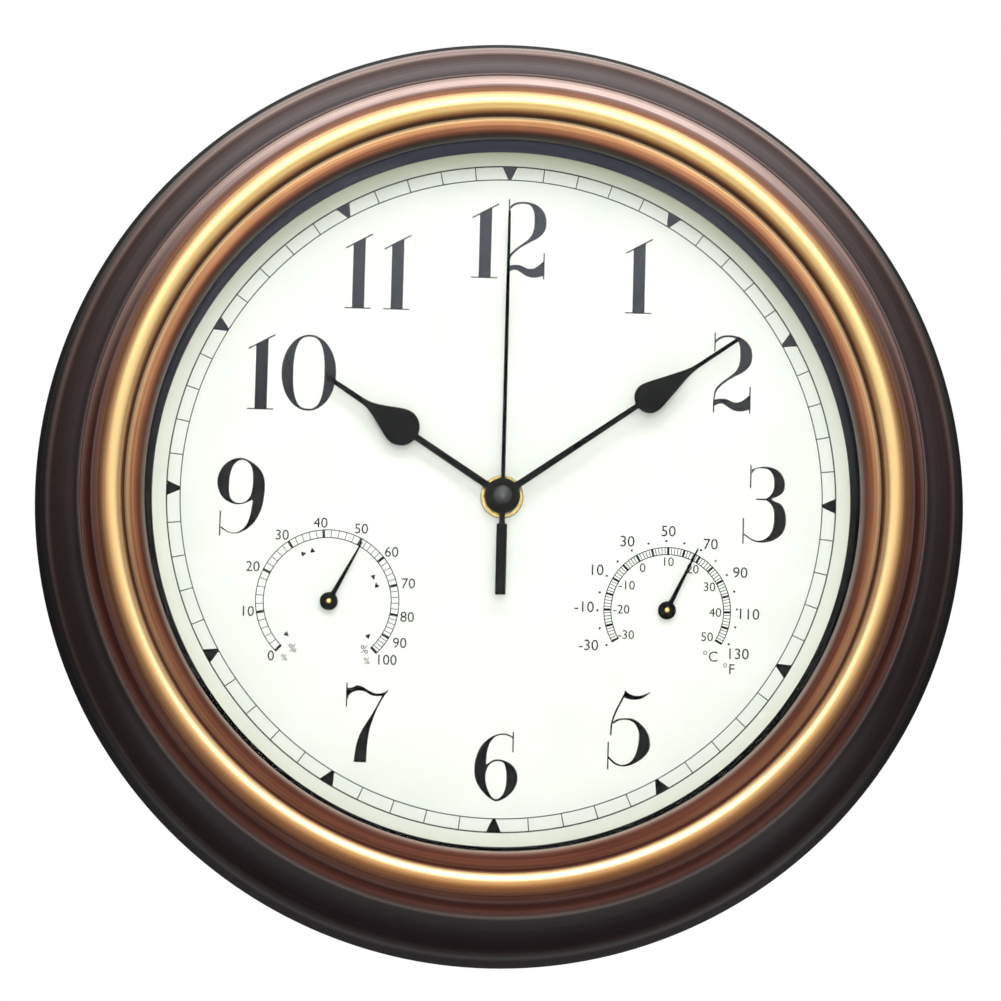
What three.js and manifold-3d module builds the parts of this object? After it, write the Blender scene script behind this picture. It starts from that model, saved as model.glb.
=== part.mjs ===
// A round outdoor wall clock with a humidity dial and a temperature dial under one glass.
// Millimetres, +Z up. The dial faces -Y, and y = 0 is the wall that the clock hangs on.
// "Depth" is the distance in front of the wall, so a depth d lies at y = -d.

import * as THREE from 'three';
import { mergeVertices } from 'three/addons/utils/BufferGeometryUtils.js';
import Module from 'manifold-3d';

const wasm = await Module();
wasm.setup();

// Fits shared by all pieces
const seatGap = 0.3; // between pieces that rest on each other
const runGap = 0.3; // between a turning piece and what it turns in or over
const cutOverrun = 2; // how far a cutter passes the faces that it cuts
const weldDistance = 0.0001; // vertices nearer than this are one vertex

// Numbers of flats on round pieces
const ringSides = 48;
const cupSides = 24;
const smallSides = 12;

// AA cell, which sets the size of the movement around it
const cellDiameter = 14.2;
const cellLength = 50.2;
const cellNubDiameter = 5.4;
const cellNubLength = 1.2;
const cellEdge = 0.6;
const contactThickness = 0.4;
const contactWidth = 9;

// Movement case, measured from the wall
const caseRear = 0.8;
const caseWall = 1.9;
const caseHeight = 56;
const caseFront = 1.2;
const cellRearShade = 0.4; // the cell lies this far inside the open rear of its bay
const cellFloor = 0.9;
const bayDivider = 1.2;
const lidThickness = 1.2;
const trainPlateThickness = 1;

// Hands and their stack on the centre
const arborRadius = 0.5;
const minutePipeWall = 0.7;
const hourPipeWall = 0.8;
const bushWall = 1.1;
const rubberThickness = 0.6;
const rubberRadius = 9;
const washerRadius = 7;
const washerThickness = 0.8;
const nutAcrossFlats = 10.5;
const nutThickness = 2.2;
const bushProud = 0.4; // bush in front of its nut
const pipeProud = 0.2; // each pipe in front of the boss of its hand
const hourBossRadius = 5.75;
const hourBossThickness = 1.2;
const minuteBossRadius = 4;
const minuteBossThickness = 1;
const secondCapRadius = 2.95;
const secondCapThickness = 1.4;
const capRoof = 0.6;
const handGap = 0.5; // between one hand's pipe and the next hand
const hourBladeThickness = 0.6;
const minuteBladeThickness = 0.5;
const secondBladeThickness = 0.4;
const hourHandLength = 69;
const minuteTipGap = 20.5; // from the minute hand's tip to the inner wall
const secondTipGap = 20.6; // from the second hand's tip to the inner wall
const hourBladeWidth = 2.2;
const hourBulbRadius = 5.9;
const minuteBladeWidth = 2.1;
const minuteBulbRadius = 4.9;
const secondBladeWidth = 1.4;
const secondTipWidth = 0.8;
const tailNeckLength = 9.5;
const tailNeckWidth = 2;
const tailLength = 32.5;
const tailWidth = 3.4;

// Shares of a hand's length, from its axis to its tip: where the bulb, its taper and the point are
const hourHandShares = { bulb: 0.574, bend: 0.655, taper: 0.758, shoulder: 0.93 };
const minuteHandShares = { bulb: 0.617, bend: 0.7, taper: 0.8, shoulder: 0.95 };
// Shares of half the blade's width at its foot: at the bend, along the blade, and at its tip
const bladeWidthShares = { bend: 1.8, blade: 0.8, tip: 0.35 };
const bulbShoulderDegrees = 36; // above the bulb's middle, where its taper starts

// Time and readings in the photo, in degrees clockwise from twelve o'clock
const secondAngle = 0;
const minuteAngle = 54.9;
const hourAngle = 302.7;
const hygrometerAngle = 27.7;
const thermometerAngle = 25.5;

// Dial, glass and the black inner wall between them
const dialThickness = 1.2;
const spacerHeight = 10.1;
const spacerFootInset = 2.1; // the wall's foot stands this far inside the opening
const spacerTopInset = 0.3;
const glassThickness = 2.2;
const lensSealThickness = 0.6;
const lensSealWidth = 2.6;

// Ring frame
const openingRadius = 115.6;
const mouldingWidth = 36.9;
const crestRise = 12.9; // from the lens shelf to the crest of the gold roll
const frameWall = 2.4;
const shelfWidth = 3.6;
const barrelBehindDial = 4.9;
const ledgeWidth = 2.8;
const frameBossRadius = 3.5;
const frameBossSink = 0.6; // how far a boss runs into the barrel beside it

// Outline of the moulding from the rear rim to the lip, as shares of its width and of its depth
const sideOutlineShares = [[1, 0], [1, 0.113], [0.894, 0.339], [0.875, 0.372], [0.856, 0.391]];
const coveControlShare = [0.688, 0.491];
const coveTopShare = [0.572, 0.783];
const stepOutlineShares = [[0.558, 0.807], [0.542, 0.813], [0.526, 0.802], [0.509, 0.77], [0.455, 0.817]];
const rollCentreShare = [0.2846, 0.874];
const rollSizeShare = [0.1328, 0.126];
const bandOutlineShares = [[0.13, 0.902], [0.111, 0.896], [0.033, 0.846], [0.011, 0.833], [0, 0.811]];
const coveSteps = 5;
const rollSteps = 8;
const rollEndDegrees = 12;

// Stations on the moulding where its underside follows it, each with the way that it faces
// there in degrees from straight ahead: share of width, share of depth, degrees outward
const undersideStationShares = [
  [0.2846, 1, 0], [0.417, 0.9, 60], [0.455, 0.817, 62], [0.509, 0.77, 18],
  [0.602, 0.704, 68], [0.702, 0.539, 58], [0.856, 0.391, 45],
];

// Back cover, its screws and what hangs the clock
const coverRear = 3;
const coverThickness = 2.4;
const coverSealThickness = 0.6;
const coverSealWidth = 2.1;
const coverScrewCount = 6;
const screwHeadRadius = 3;
const screwHeadThickness = 1.3;
const screwShankRadius = 1.2;
const screwShankLength = 9;
const dialRibInset = 2.1; // from the dial's edge in to the rib behind it
const dialRibWall = 3.2;
const movementSealWidth = 1.2;
const hangerWidth = 34;
const hangerHeight = 30;
const hangerThickness = 1.2;
const hangerRibGap = 2.6; // between the hanger's top edge and the dial rib
const keyholeRadius = 4.8;
const keyholeSlotWidth = 5.2;
const keyholeDrop = 5; // round hole below the hanger's centre
const keyholeRise = 6; // slot's round end above the hanger's centre
const keyholeMargin = 1.6; // how much larger the cover's own keyhole is
const rivetRadius = 1.3;
const rivetHeadRadius = 2.6;
const rivetHeadThickness = 0.8;
const rivetInset = 4.5;
const ventLength = 18;
const ventWidth = 2;
const ventPitch = 5;
const ventCount = 5;

// Humidity and temperature elements
const hygrometerSpread = 55.2; // from the centre line to the humidity pointer's pivot
const thermometerSpread = 54.4; // from the centre line to the temperature pointer's pivot
const instrumentDrop = 35.6; // from the centre down to the small pivots
const cupRadius = 17;
const cupWall = 1.2;
const cupDepth = 9.2;
const coilTurns = 4;
const coilStepsPerTurn = 18;
const coilStrip = 0.5;
const coilWidth = 4;
const pinRadius = 0.6;
const pinProud = 0.3;
const pointerBossRadius = 2.8;
const pointerBossThickness = 1.6;
const pointerBladeThickness = 0.4;
const pointerFootWidth = 1.7;
const pointerTipWidth = 0.5;
const pointerStandOff = 1; // pointer boss in front of the dial
const hygrometerPointerLength = 22.2;
const thermometerPointerLength = 22.8;

// Gear train: tooth counts, modules, and where each layer lies as a share of the room's depth
const trainModule = 0.31; // third pinion and centre wheel
const motorModuleShare = 0.97; // of the train module: intermediate pinion and second wheel
const rotorModuleShare = 1.13;
const motionModuleShare = 1.29;
const teeth = {
  rotorPinion: 6, intermediateWheel: 30, intermediatePinion: 8, secondWheel: 48, secondPinion: 6,
  thirdWheel: 45, thirdPinion: 6, centreWheel: 48, cannonPinion: 10, motionWheel: 30,
  motionPinion: 8, hourWheel: 32, knobPinion: 12,
};
const wheelThickness = 0.8;
const trainArborRadius = 0.45;
const layerShares = {
  secondWheel: 0.104, thirdWheel: 0.224, intermediateWheel: 0.216, magnet: 0.336, centreWheel: 0.396,
  trainPlate: 0.634, motionWheel: 0.761, hourWheel: 0.903,
};
const addendumShare = 0.8; // of the module
const dedendumShare = 1.2;
const toothFootShare = 0.2; // half of a tooth's foot, of the pitch
const toothTipShare = 0.09;
const bearings = { third: 150, intermediate: 30, rotor: 35, motion: 90, knob: 90 };
const magnetRadius = 3.2;
const magnetThickness = 1.2;
const knobRadius = 5;
const knobThickness = 2.3;
const knobWellWall = 0.8;
const knobWellFloor = 0.7;
const knobShaftRadius = 1;
const knobInset = 0.2;
const knobGripCount = 3;
const knobGripWidth = 0.6;
const knobGripDepth = 0.8;

// Circuit and coil
const boardWidth = 15;
const boardHeight = 13;
const boardThickness = 0.8;
const boardInset = 0.6; // from the case's inner walls
const chipSize = 5;
const chipThickness = 1.2;
const crystalRadius = 1;
const crystalLength = 6;
const statorThickness = 0.8;
const statorBar = 2.4;
const statorRing = 1.8;
const coilLegGap = 1.6; // from the knob's well to the stator
const bobbinWall = 0.4;
const bobbinFlange = 0.8;
const windingThickness = 0.8;

const material = (color, roughness, metalness) => (
  new THREE.MeshStandardMaterial({ color, roughness, metalness })
);
const bronze = material(0x5a4238, 0.4, 0.6);
const glass = material(0xdfe8ea, 0.05, 0);
const blackPlastic = material(0x26262a, 0.5, 0);
const blackPaint = material(0x111111, 0.45, 0.1);
const dialPaper = material(0xf8f8f0, 0.6, 0);
const rubber = material(0x1a1a1a, 0.8, 0);
const brass = material(0xb8954a, 0.35, 0.9);
const steel = material(0xb0b2b4, 0.35, 0.9);
const whitePlastic = material(0xe8e6dc, 0.5, 0);
const copper = material(0xa85a32, 0.4, 0.9);
const boardGreen = material(0x2f6b45, 0.6, 0);
const cellWrap = material(0x3a5a78, 0.4, 0.2);
const bimetal = material(0x9a8a6a, 0.4, 0.9);

// Solids: every piece is one closed body, joined and cut as a manifold
function toManifold(geometry) {
  const bare = geometry.clone();
  bare.deleteAttribute('normal');
  bare.deleteAttribute('uv');
  const merged = mergeVertices(bare, weldDistance);
  const corners = merged.index.array;
  const kept = [];
  for (let i = 0; i < corners.length; i += 3) {
    const [a, b, c] = [corners[i], corners[i + 1], corners[i + 2]];
    if (a !== b && b !== c && c !== a) kept.push(a, b, c);
  }
  const vertProperties = new Float32Array(merged.attributes.position.array);
  const build = (indices) => new wasm.Manifold(new wasm.Mesh({
    numProp: 3,
    vertProperties,
    triVerts: new Uint32Array(indices),
  }));
  const body = build(kept);
  return body.volume() > 0 ? body : build(kept.reverse());
}

function toGeometry(manifold) {
  const mesh = manifold.getMesh();
  const geometry = new THREE.BufferGeometry();
  geometry.setAttribute('position', new THREE.BufferAttribute(mesh.vertProperties, 3));
  geometry.setIndex(new THREE.BufferAttribute(mesh.triVerts, 1));
  geometry.computeVertexNormals();
  return geometry;
}

function join(...pieces) {
  return toGeometry(pieces.map(toManifold).reduce((whole, piece) => whole.add(piece)));
}

function cut(whole, ...tools) {
  return toGeometry(tools.map(toManifold).reduce((rest, tool) => rest.subtract(tool), toManifold(whole)));
}

// A profile of [radius, depth] points turned round the clock's axis
function turned(profile, sides) {
  const points = profile.map(([radius, depth]) => new THREE.Vector2(radius, -depth));
  if (profile[0][0] > 0) points.push(points[0].clone());
  return new THREE.LatheGeometry(points, sides);
}

function rod(radius, rear, front, sides = smallSides) {
  return turned([[0, rear], [radius, rear], [radius, front], [0, front]], sides);
}

function ring(innerRadius, outerRadius, rear, front, sides = ringSides) {
  const profile = [[innerRadius, rear], [outerRadius, rear], [outerRadius, front], [innerRadius, front]];
  return turned(profile, sides);
}

// A flat outline, seen from the front with x to the right and z up, made a plate between two depths
function plate(shape, rear, front) {
  const geometry = new THREE.ExtrudeGeometry(shape, {
    depth: front - rear,
    bevelEnabled: false,
    curveSegments: smallSides,
  });
  geometry.rotateX(Math.PI / 2);
  geometry.translate(0, -rear, 0);
  return geometry;
}

function roundPoints(radius, sides, x = 0, z = 0) {
  return Array.from({ length: sides }, (_, i) => {
    const angle = (i / sides) * 2 * Math.PI;
    return new THREE.Vector2(x + radius * Math.cos(angle), z + radius * Math.sin(angle));
  });
}

function rectanglePoints(left, right, bottom, top) {
  return [[left, bottom], [right, bottom], [right, top], [left, top]].map(
    ([x, z]) => new THREE.Vector2(x, z),
  );
}

function box(left, right, bottom, top, rear, front) {
  return plate(new THREE.Shape(rectanglePoints(left, right, bottom, top)), rear, front);
}

const moved = (geometry, x, z) => geometry.translate(x, 0, z);

function part(name, geometry, finish) {
  const mesh = new THREE.Mesh(toGeometry(toManifold(geometry)), finish);
  mesh.name = name;
  return mesh;
}

function group(parts, x = 0, z = 0) {
  const holder = new THREE.Group();
  holder.position.set(x, 0, z);
  holder.add(...parts);
  return holder;
}

// Depths of the case and of the dial in front of it
const cellRadius = cellDiameter / 2;
const cellDepth = caseRear + cellRearShade + cellRadius;
const bayFloorDepth = cellDepth + cellRadius + seatGap;
const caseFrontDepth = bayFloorDepth + cellFloor;
const trainRear = caseRear + lidThickness;
const trainFront = caseFrontDepth - caseFront;
const rubberDepth = caseFrontDepth + seatGap;
const dialRear = rubberDepth + rubberThickness + seatGap;
const dialFront = dialRear + dialThickness;

// Case outline, with the cell bay below the train
const contactRoom = contactThickness + 2 * seatGap;
const bayHalfLength = cellLength / 2 + contactRoom;
const caseHalfWidth = bayHalfLength + caseWall;
const caseHalfHeight = caseHeight / 2;
const bayBottom = -caseHalfHeight + caseWall;
const cellHeight = bayBottom + seatGap + cellRadius;
const bayTop = cellHeight + cellRadius + seatGap;
const trainBottom = bayTop + bayDivider;
const trainTop = caseHalfHeight - caseWall;

// Pipes and bush round the centre arbor
const minuteBore = arborRadius + runGap;
const minutePipeRadius = minuteBore + minutePipeWall;
const hourBore = minutePipeRadius + runGap;
const hourPipeRadius = hourBore + hourPipeWall;
const bushBore = hourPipeRadius + runGap;
const bushRadius = bushBore + bushWall;
const bushHoleRadius = bushRadius + seatGap;

// Stack in front of the dial
const washerRear = dialFront + seatGap;
const nutRear = washerRear + washerThickness + seatGap;
const bushFront = nutRear + nutThickness + bushProud;
const hourBossRear = bushFront + runGap;
const hourPipeFront = hourBossRear + hourBossThickness + pipeProud;
const minuteBossRear = hourPipeFront + handGap;
const minutePipeFront = minuteBossRear + minuteBossThickness + pipeProud;
const secondCapRear = minutePipeFront + handGap;
const secondCapFront = secondCapRear + secondCapThickness;

// Glass and frame depths
const spacerRear = dialFront + seatGap;
const spacerFront = spacerRear + spacerHeight;
const glassRear = spacerFront + seatGap;
const glassFront = glassRear + glassThickness;
const shelfDepth = glassFront + seatGap + lensSealThickness + seatGap;
const frameDepth = shelfDepth + crestRise;
const barrelRadius = openingRadius + shelfWidth;
const fittedRadius = barrelRadius - seatGap;
const barrelOuterRadius = barrelRadius + frameWall;
const barrelRear = dialRear - barrelBehindDial;
const frameRadius = openingRadius + mouldingWidth;
const rimInnerRadius = frameRadius - frameWall;
const coverFront = coverRear + coverThickness;
const coverSealRear = coverFront + seatGap;
const ledgeDepth = coverSealRear + coverSealThickness + seatGap;
const screwCircleRadius = barrelOuterRadius + frameBossRadius - frameBossSink;
const screwHoleRadius = screwShankRadius + seatGap;
const wallFootRadius = openingRadius - spacerFootInset;
const dialRibInnerRadius = fittedRadius - dialRibInset - dialRibWall;
const hangerCentreHeight = dialRibInnerRadius - hangerRibGap - hangerHeight / 2;

// Gear train places and depths
const motorModule = trainModule * motorModuleShare;
const rotorModule = trainModule * rotorModuleShare;
const motionModule = trainModule * motionModuleShare;
const thirdDistance = (trainModule * (teeth.thirdPinion + teeth.centreWheel)) / 2;
const thirdModule = (2 * thirdDistance) / (teeth.secondPinion + teeth.thirdWheel);
const intermediateDistance = (motorModule * (teeth.intermediatePinion + teeth.secondWheel)) / 2;
const rotorDistance = (rotorModule * (teeth.rotorPinion + teeth.intermediateWheel)) / 2;
const motionDistance = (motionModule * (teeth.cannonPinion + teeth.motionWheel)) / 2;
const knobDistance = (motionModule * (teeth.knobPinion + teeth.motionWheel)) / 2;
const radians = THREE.MathUtils.degToRad;

function away(from, distance, bearing) {
  return {
    x: from.x + distance * Math.cos(radians(bearing)),
    z: from.z + distance * Math.sin(radians(bearing)),
  };
}

const centre = { x: 0, z: 0 };
const thirdPlace = away(centre, thirdDistance, bearings.third);
const intermediatePlace = away(centre, intermediateDistance, bearings.intermediate);
const rotorPlace = away(intermediatePlace, rotorDistance, bearings.rotor);
const motionPlace = away(centre, motionDistance, bearings.motion);
const knobPlace = away(motionPlace, knobDistance, bearings.knob);
const layer = Object.fromEntries(Object.entries(layerShares).map(
  ([name, share]) => [name, trainRear + share * (trainFront - trainRear)],
));
const pivotRear = trainRear + runGap;
const plateRear = layer.trainPlate - trainPlateThickness / 2;
const plateFront = layer.trainPlate + trainPlateThickness / 2;
const goingFront = plateRear - runGap; // front ends of the arbors behind the train plate
const workRear = plateFront + runGap; // rear ends of the pieces in front of it

// A toothed outline with a tooth, or a gap, on the given bearing
function toothedShape(count, module, bearing, startsWithGap = false) {
  const pitch = (2 * Math.PI) / count;
  const start = radians(bearing) + (startsWithGap ? pitch / 2 : 0);
  const tipRadius = module * (count / 2 + addendumShare);
  const footRadius = module * (count / 2 - dedendumShare);
  const corners = [
    [-toothFootShare, footRadius], [-toothTipShare, tipRadius],
    [toothTipShare, tipRadius], [toothFootShare, footRadius],
  ];
  const points = [];
  for (let tooth = 0; tooth < count; tooth += 1) {
    for (const [share, radius] of corners) {
      const angle = start + (tooth + share) * pitch;
      points.push(new THREE.Vector2(radius * Math.cos(angle), radius * Math.sin(angle)));
    }
  }
  return new THREE.Shape(points);
}

function wheel(count, module, middle, bearing, startsWithGap) {
  const shape = toothedShape(count, module, bearing, startsWithGap);
  return plate(shape, middle - wheelThickness / 2, middle + wheelThickness / 2);
}

function buildTrain() {
  const half = wheelThickness / 2;
  const opposite = (bearing) => bearing + 180;

  // Rotor: magnet, pinion and arbor
  const rotor = join(
    rod(trainArborRadius, pivotRear, goingFront),
    plate(
      toothedShape(teeth.rotorPinion, rotorModule, opposite(bearings.rotor)),
      layer.intermediateWheel - wheelThickness,
      layer.intermediateWheel + half,
    ),
    rod(magnetRadius, layer.magnet - magnetThickness / 2, layer.magnet + magnetThickness / 2, cupSides),
  );
  const intermediate = join(
    rod(trainArborRadius, pivotRear, goingFront),
    wheel(teeth.intermediateWheel, rotorModule, layer.intermediateWheel, bearings.rotor, true),
    plate(
      toothedShape(teeth.intermediatePinion, motorModule, opposite(bearings.intermediate)),
      layer.secondWheel - half,
      layer.intermediateWheel,
    ),
  );
  const third = join(
    rod(trainArborRadius, pivotRear, goingFront),
    wheel(teeth.thirdWheel, thirdModule, layer.thirdWheel, opposite(bearings.third), true),
    plate(
      toothedShape(teeth.thirdPinion, trainModule, opposite(bearings.third)),
      layer.thirdWheel,
      layer.centreWheel + wheelThickness,
    ),
  );

  // Wheels on the centre axis, which carry the hands
  const second = join(
    rod(arborRadius, pivotRear, secondCapFront - capRoof - runGap),
    wheel(teeth.secondWheel, motorModule, layer.secondWheel, bearings.intermediate, true),
    plate(
      toothedShape(teeth.secondPinion, thirdModule, bearings.third),
      layer.secondWheel,
      layer.thirdWheel + half + runGap,
    ),
  );
  const pipeRear = layer.centreWheel - wheelThickness;
  const cannonFront = layer.hourWheel - half - runGap;
  const minute = cut(
    join(
      rod(minutePipeRadius, pipeRear, minutePipeFront, smallSides),
      wheel(teeth.centreWheel, trainModule, layer.centreWheel, bearings.third, true),
      plate(toothedShape(teeth.cannonPinion, motionModule, bearings.motion), workRear, cannonFront),
    ),
    rod(minuteBore, pipeRear - cutOverrun, minutePipeFront + cutOverrun),
  );
  const hour = cut(
    join(
      rod(hourPipeRadius, layer.hourWheel - half, hourPipeFront, cupSides),
      wheel(teeth.hourWheel, motionModule, layer.hourWheel, bearings.motion, true),
    ),
    rod(hourBore, layer.hourWheel - cutOverrun, hourPipeFront + cutOverrun, cupSides),
  );
  const motion = join(
    rod(trainArborRadius, workRear, trainFront - runGap),
    wheel(teeth.motionWheel, motionModule, layer.motionWheel, opposite(bearings.motion), true),
    plate(
      toothedShape(teeth.motionPinion, motionModule, opposite(bearings.motion)),
      layer.motionWheel,
      layer.hourWheel + wheelThickness,
    ),
  );

  // Setting knob at the rear, whose shaft drives the motion wheel
  const knobRear = caseRear + knobInset;
  const knob = join(
    rod(knobRadius, knobRear, knobRear + knobThickness, cupSides),
    rod(knobShaftRadius, knobRear, trainFront - runGap),
    plate(
      toothedShape(teeth.knobPinion, motionModule, opposite(bearings.knob)),
      layer.motionWheel - wheelThickness,
      layer.motionWheel + wheelThickness,
    ),
  );
  const grips = Array.from({ length: knobGripCount }, (_, i) => {
    const groove = box(
      -knobRadius - cutOverrun,
      knobRadius + cutOverrun,
      -knobGripWidth / 2,
      knobGripWidth / 2,
      knobRear - cutOverrun,
      knobRear + knobGripDepth,
    );
    return groove.rotateY((Math.PI * i) / knobGripCount);
  });
  const at = (place, mesh) => group([mesh], place.x, place.z);
  return [
    at(rotorPlace, part('rotor', rotor, blackPlastic)),
    at(intermediatePlace, part('intermediate_wheel', intermediate, whitePlastic)),
    at(thirdPlace, part('third_wheel', third, whitePlastic)),
    at(motionPlace, part('motion_wheel', motion, whitePlastic)),
    at(knobPlace, part('setting_knob', cut(knob, ...grips), blackPlastic)),
    part('second_wheel', second, whitePlastic),
    part('centre_wheel', minute, whitePlastic),
    part('hour_wheel', hour, whitePlastic),
  ];
}

// Movement case, its lid at the rear, and the plate between the going train and the motion work
function buildCase() {
  const shaftHole = knobShaftRadius + runGap;
  const wellRadius = knobRadius + runGap;
  const wellRear = caseRear + knobInset + knobThickness + runGap;
  const trainRoomDepths = [caseRear - cutOverrun, trainFront];
  const caseInner = caseHalfWidth - caseWall;
  const shell = cut(
    box(-caseHalfWidth, caseHalfWidth, -caseHalfHeight, caseHalfHeight, caseRear, caseFrontDepth),
    box(-caseInner, caseInner, trainBottom, trainTop, ...trainRoomDepths),
    box(-bayHalfLength, bayHalfLength, bayBottom, bayTop, caseRear - cutOverrun, bayFloorDepth),
    rod(bushHoleRadius, trainFront - cutOverrun, caseFrontDepth + cutOverrun, cupSides),
  );
  const fitWidth = caseInner - seatGap;
  const fitBottom = trainBottom + seatGap;
  const fitTop = trainTop - seatGap;
  const atKnob = (geometry) => moved(geometry, knobPlace.x, knobPlace.z);
  const lid = cut(
    join(
      box(-fitWidth, fitWidth, fitBottom, fitTop, caseRear, trainRear),
      atKnob(rod(wellRadius + knobWellWall, caseRear, wellRear + knobWellFloor, cupSides)),
    ),
    atKnob(rod(wellRadius, caseRear - cutOverrun, wellRear, cupSides)),
    atKnob(rod(shaftHole, caseRear - cutOverrun, wellRear + cutOverrun)),
  );
  const divider = cut(
    box(-fitWidth, fitWidth, fitBottom, fitTop, plateRear, plateFront),
    rod(minutePipeRadius + runGap, plateRear - cutOverrun, plateFront + cutOverrun, cupSides),
    atKnob(rod(shaftHole, plateRear - cutOverrun, plateFront + cutOverrun)),
  );
  return [
    part('movement_case', shell, blackPlastic),
    part('movement_lid', lid, blackPlastic),
    part('train_plate', divider, whitePlastic),
  ];
}

// Bush, nut and washers that clamp the movement to the dial
function buildClamp() {
  const nutShape = new THREE.Shape(roundPoints(nutAcrossFlats / Math.sqrt(3), 6));
  nutShape.holes.push(new THREE.Path(roundPoints(bushHoleRadius, cupSides)));
  return [
    part('centre_bush', ring(bushBore, bushRadius, trainFront, bushFront, cupSides), brass),
    part('bush_nut', plate(nutShape, nutRear, nutRear + nutThickness), brass),
    part(
      'bush_washer',
      ring(bushHoleRadius, washerRadius, washerRear, washerRear + washerThickness, cupSides),
      brass,
    ),
    part(
      'rubber_washer',
      ring(bushHoleRadius, rubberRadius, rubberDepth, rubberDepth + rubberThickness, cupSides),
      rubber,
    ),
  ];
}

// Circuit board with its chip and crystal, lying on the lid beside the third wheel
function buildCircuit() {
  const left = -(caseHalfWidth - caseWall) + boardInset;
  const right = left + boardWidth;
  const top = trainTop - boardInset;
  const bottom = top - boardHeight;
  const boardRear = trainRear + seatGap;
  const boardFront = boardRear + boardThickness;
  const chipRear = boardFront + seatGap;
  const chipFront = chipRear + chipThickness;
  const chipLeft = (left + right - chipSize) / 2;
  const chipBottom = bottom + boardInset;
  const crystal = rod(crystalRadius, 0, crystalLength).rotateZ(Math.PI / 2);
  crystal.translate(left + crystalRadius, -(chipRear + crystalRadius), top - 2 * crystalRadius);
  return [
    part('circuit_board', box(left, right, bottom, top, boardRear, boardFront), boardGreen),
    part(
      'control_chip',
      box(chipLeft, chipLeft + chipSize, chipBottom, chipBottom + chipSize, chipRear, chipFront),
      blackPlastic,
    ),
    part('quartz_crystal', crystal, steel),
  ];
}

// Stator with its core bar through the coil, and its hole round the rotor's magnet
function buildMotor() {
  const rear = layer.magnet - statorThickness / 2;
  const front = layer.magnet + statorThickness / 2;
  const left = knobPlace.x + knobRadius + knobWellWall + coilLegGap;
  const right = caseHalfWidth - caseWall - boardInset;
  const coreTop = trainTop - statorBar - boardInset;
  const coreBottom = coreTop - statorBar;
  const holeRadius = magnetRadius + runGap;
  const ringRadius = holeRadius + statorRing;
  const barTop = rotorPlace.z + statorBar / 2;
  const barBottom = rotorPlace.z - statorBar / 2;
  const stator = cut(
    join(
      moved(rod(ringRadius, rear, front, cupSides), rotorPlace.x, rotorPlace.z),
      box(left, left + statorBar, rotorPlace.z + holeRadius, coreTop, rear, front),
      box(left, right, coreBottom, coreTop, rear, front),
      box(right - statorBar, right, barBottom, coreTop, rear, front),
      box(rotorPlace.x, right, barBottom, barTop, rear, front),
    ),
    moved(rod(holeRadius, rear - cutOverrun, front + cutOverrun, cupSides), rotorPlace.x, rotorPlace.z),
  );
  const coreRadius = Math.hypot(statorBar, statorThickness) / 2 + seatGap;
  const spoolRadius = coreRadius + bobbinWall;
  const coilRadius = spoolRadius + seatGap + windingThickness;
  const spoolStart = left + statorBar + seatGap;
  const spoolEnd = right - statorBar - seatGap;
  const coreHeight = (coreTop + coreBottom) / 2;
  const lay = (geometry) => geometry.rotateZ(Math.PI / 2).translate(0, -layer.magnet, coreHeight);
  const bobbin = turned([
    [coreRadius, spoolStart], [coilRadius, spoolStart], [coilRadius, spoolStart + bobbinFlange],
    [spoolRadius, spoolStart + bobbinFlange], [spoolRadius, spoolEnd - bobbinFlange],
    [coilRadius, spoolEnd - bobbinFlange], [coilRadius, spoolEnd], [coreRadius, spoolEnd],
  ], smallSides);
  const winding = ring(
    spoolRadius + seatGap,
    coilRadius,
    spoolStart + bobbinFlange + seatGap,
    spoolEnd - bobbinFlange - seatGap,
    smallSides,
  );
  return [
    part('stator', stator, steel),
    part('coil_bobbin', lay(bobbin), whitePlastic),
    part('coil_winding', lay(winding), copper),
  ];
}

// The AA cell along x, with a contact plate at each end
function buildCell() {
  const nubRadius = cellNubDiameter / 2;
  const bodyEnd = cellLength / 2 - cellNubLength;
  const cell = turned([
    [0, -cellLength / 2], [cellRadius - cellEdge, -cellLength / 2],
    [cellRadius, -cellLength / 2 + cellEdge], [cellRadius, bodyEnd - cellEdge],
    [cellRadius - cellEdge, bodyEnd], [nubRadius, bodyEnd], [nubRadius, cellLength / 2],
    [0, cellLength / 2],
  ], cupSides);
  cell.rotateZ(Math.PI / 2).translate(0, -cellDepth, cellHeight);
  const contact = (inner) => box(
    inner,
    inner + contactThickness,
    cellHeight - contactWidth / 2,
    cellHeight + contactWidth / 2,
    cellDepth - cellRadius,
    bayFloorDepth - seatGap,
  );
  const innerFace = cellLength / 2 + seatGap;
  return [
    part('battery', cell, cellWrap),
    part('positive_contact', contact(innerFace), steel),
    part('negative_contact', contact(-innerFace - contactThickness), steel),
  ];
}

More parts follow.
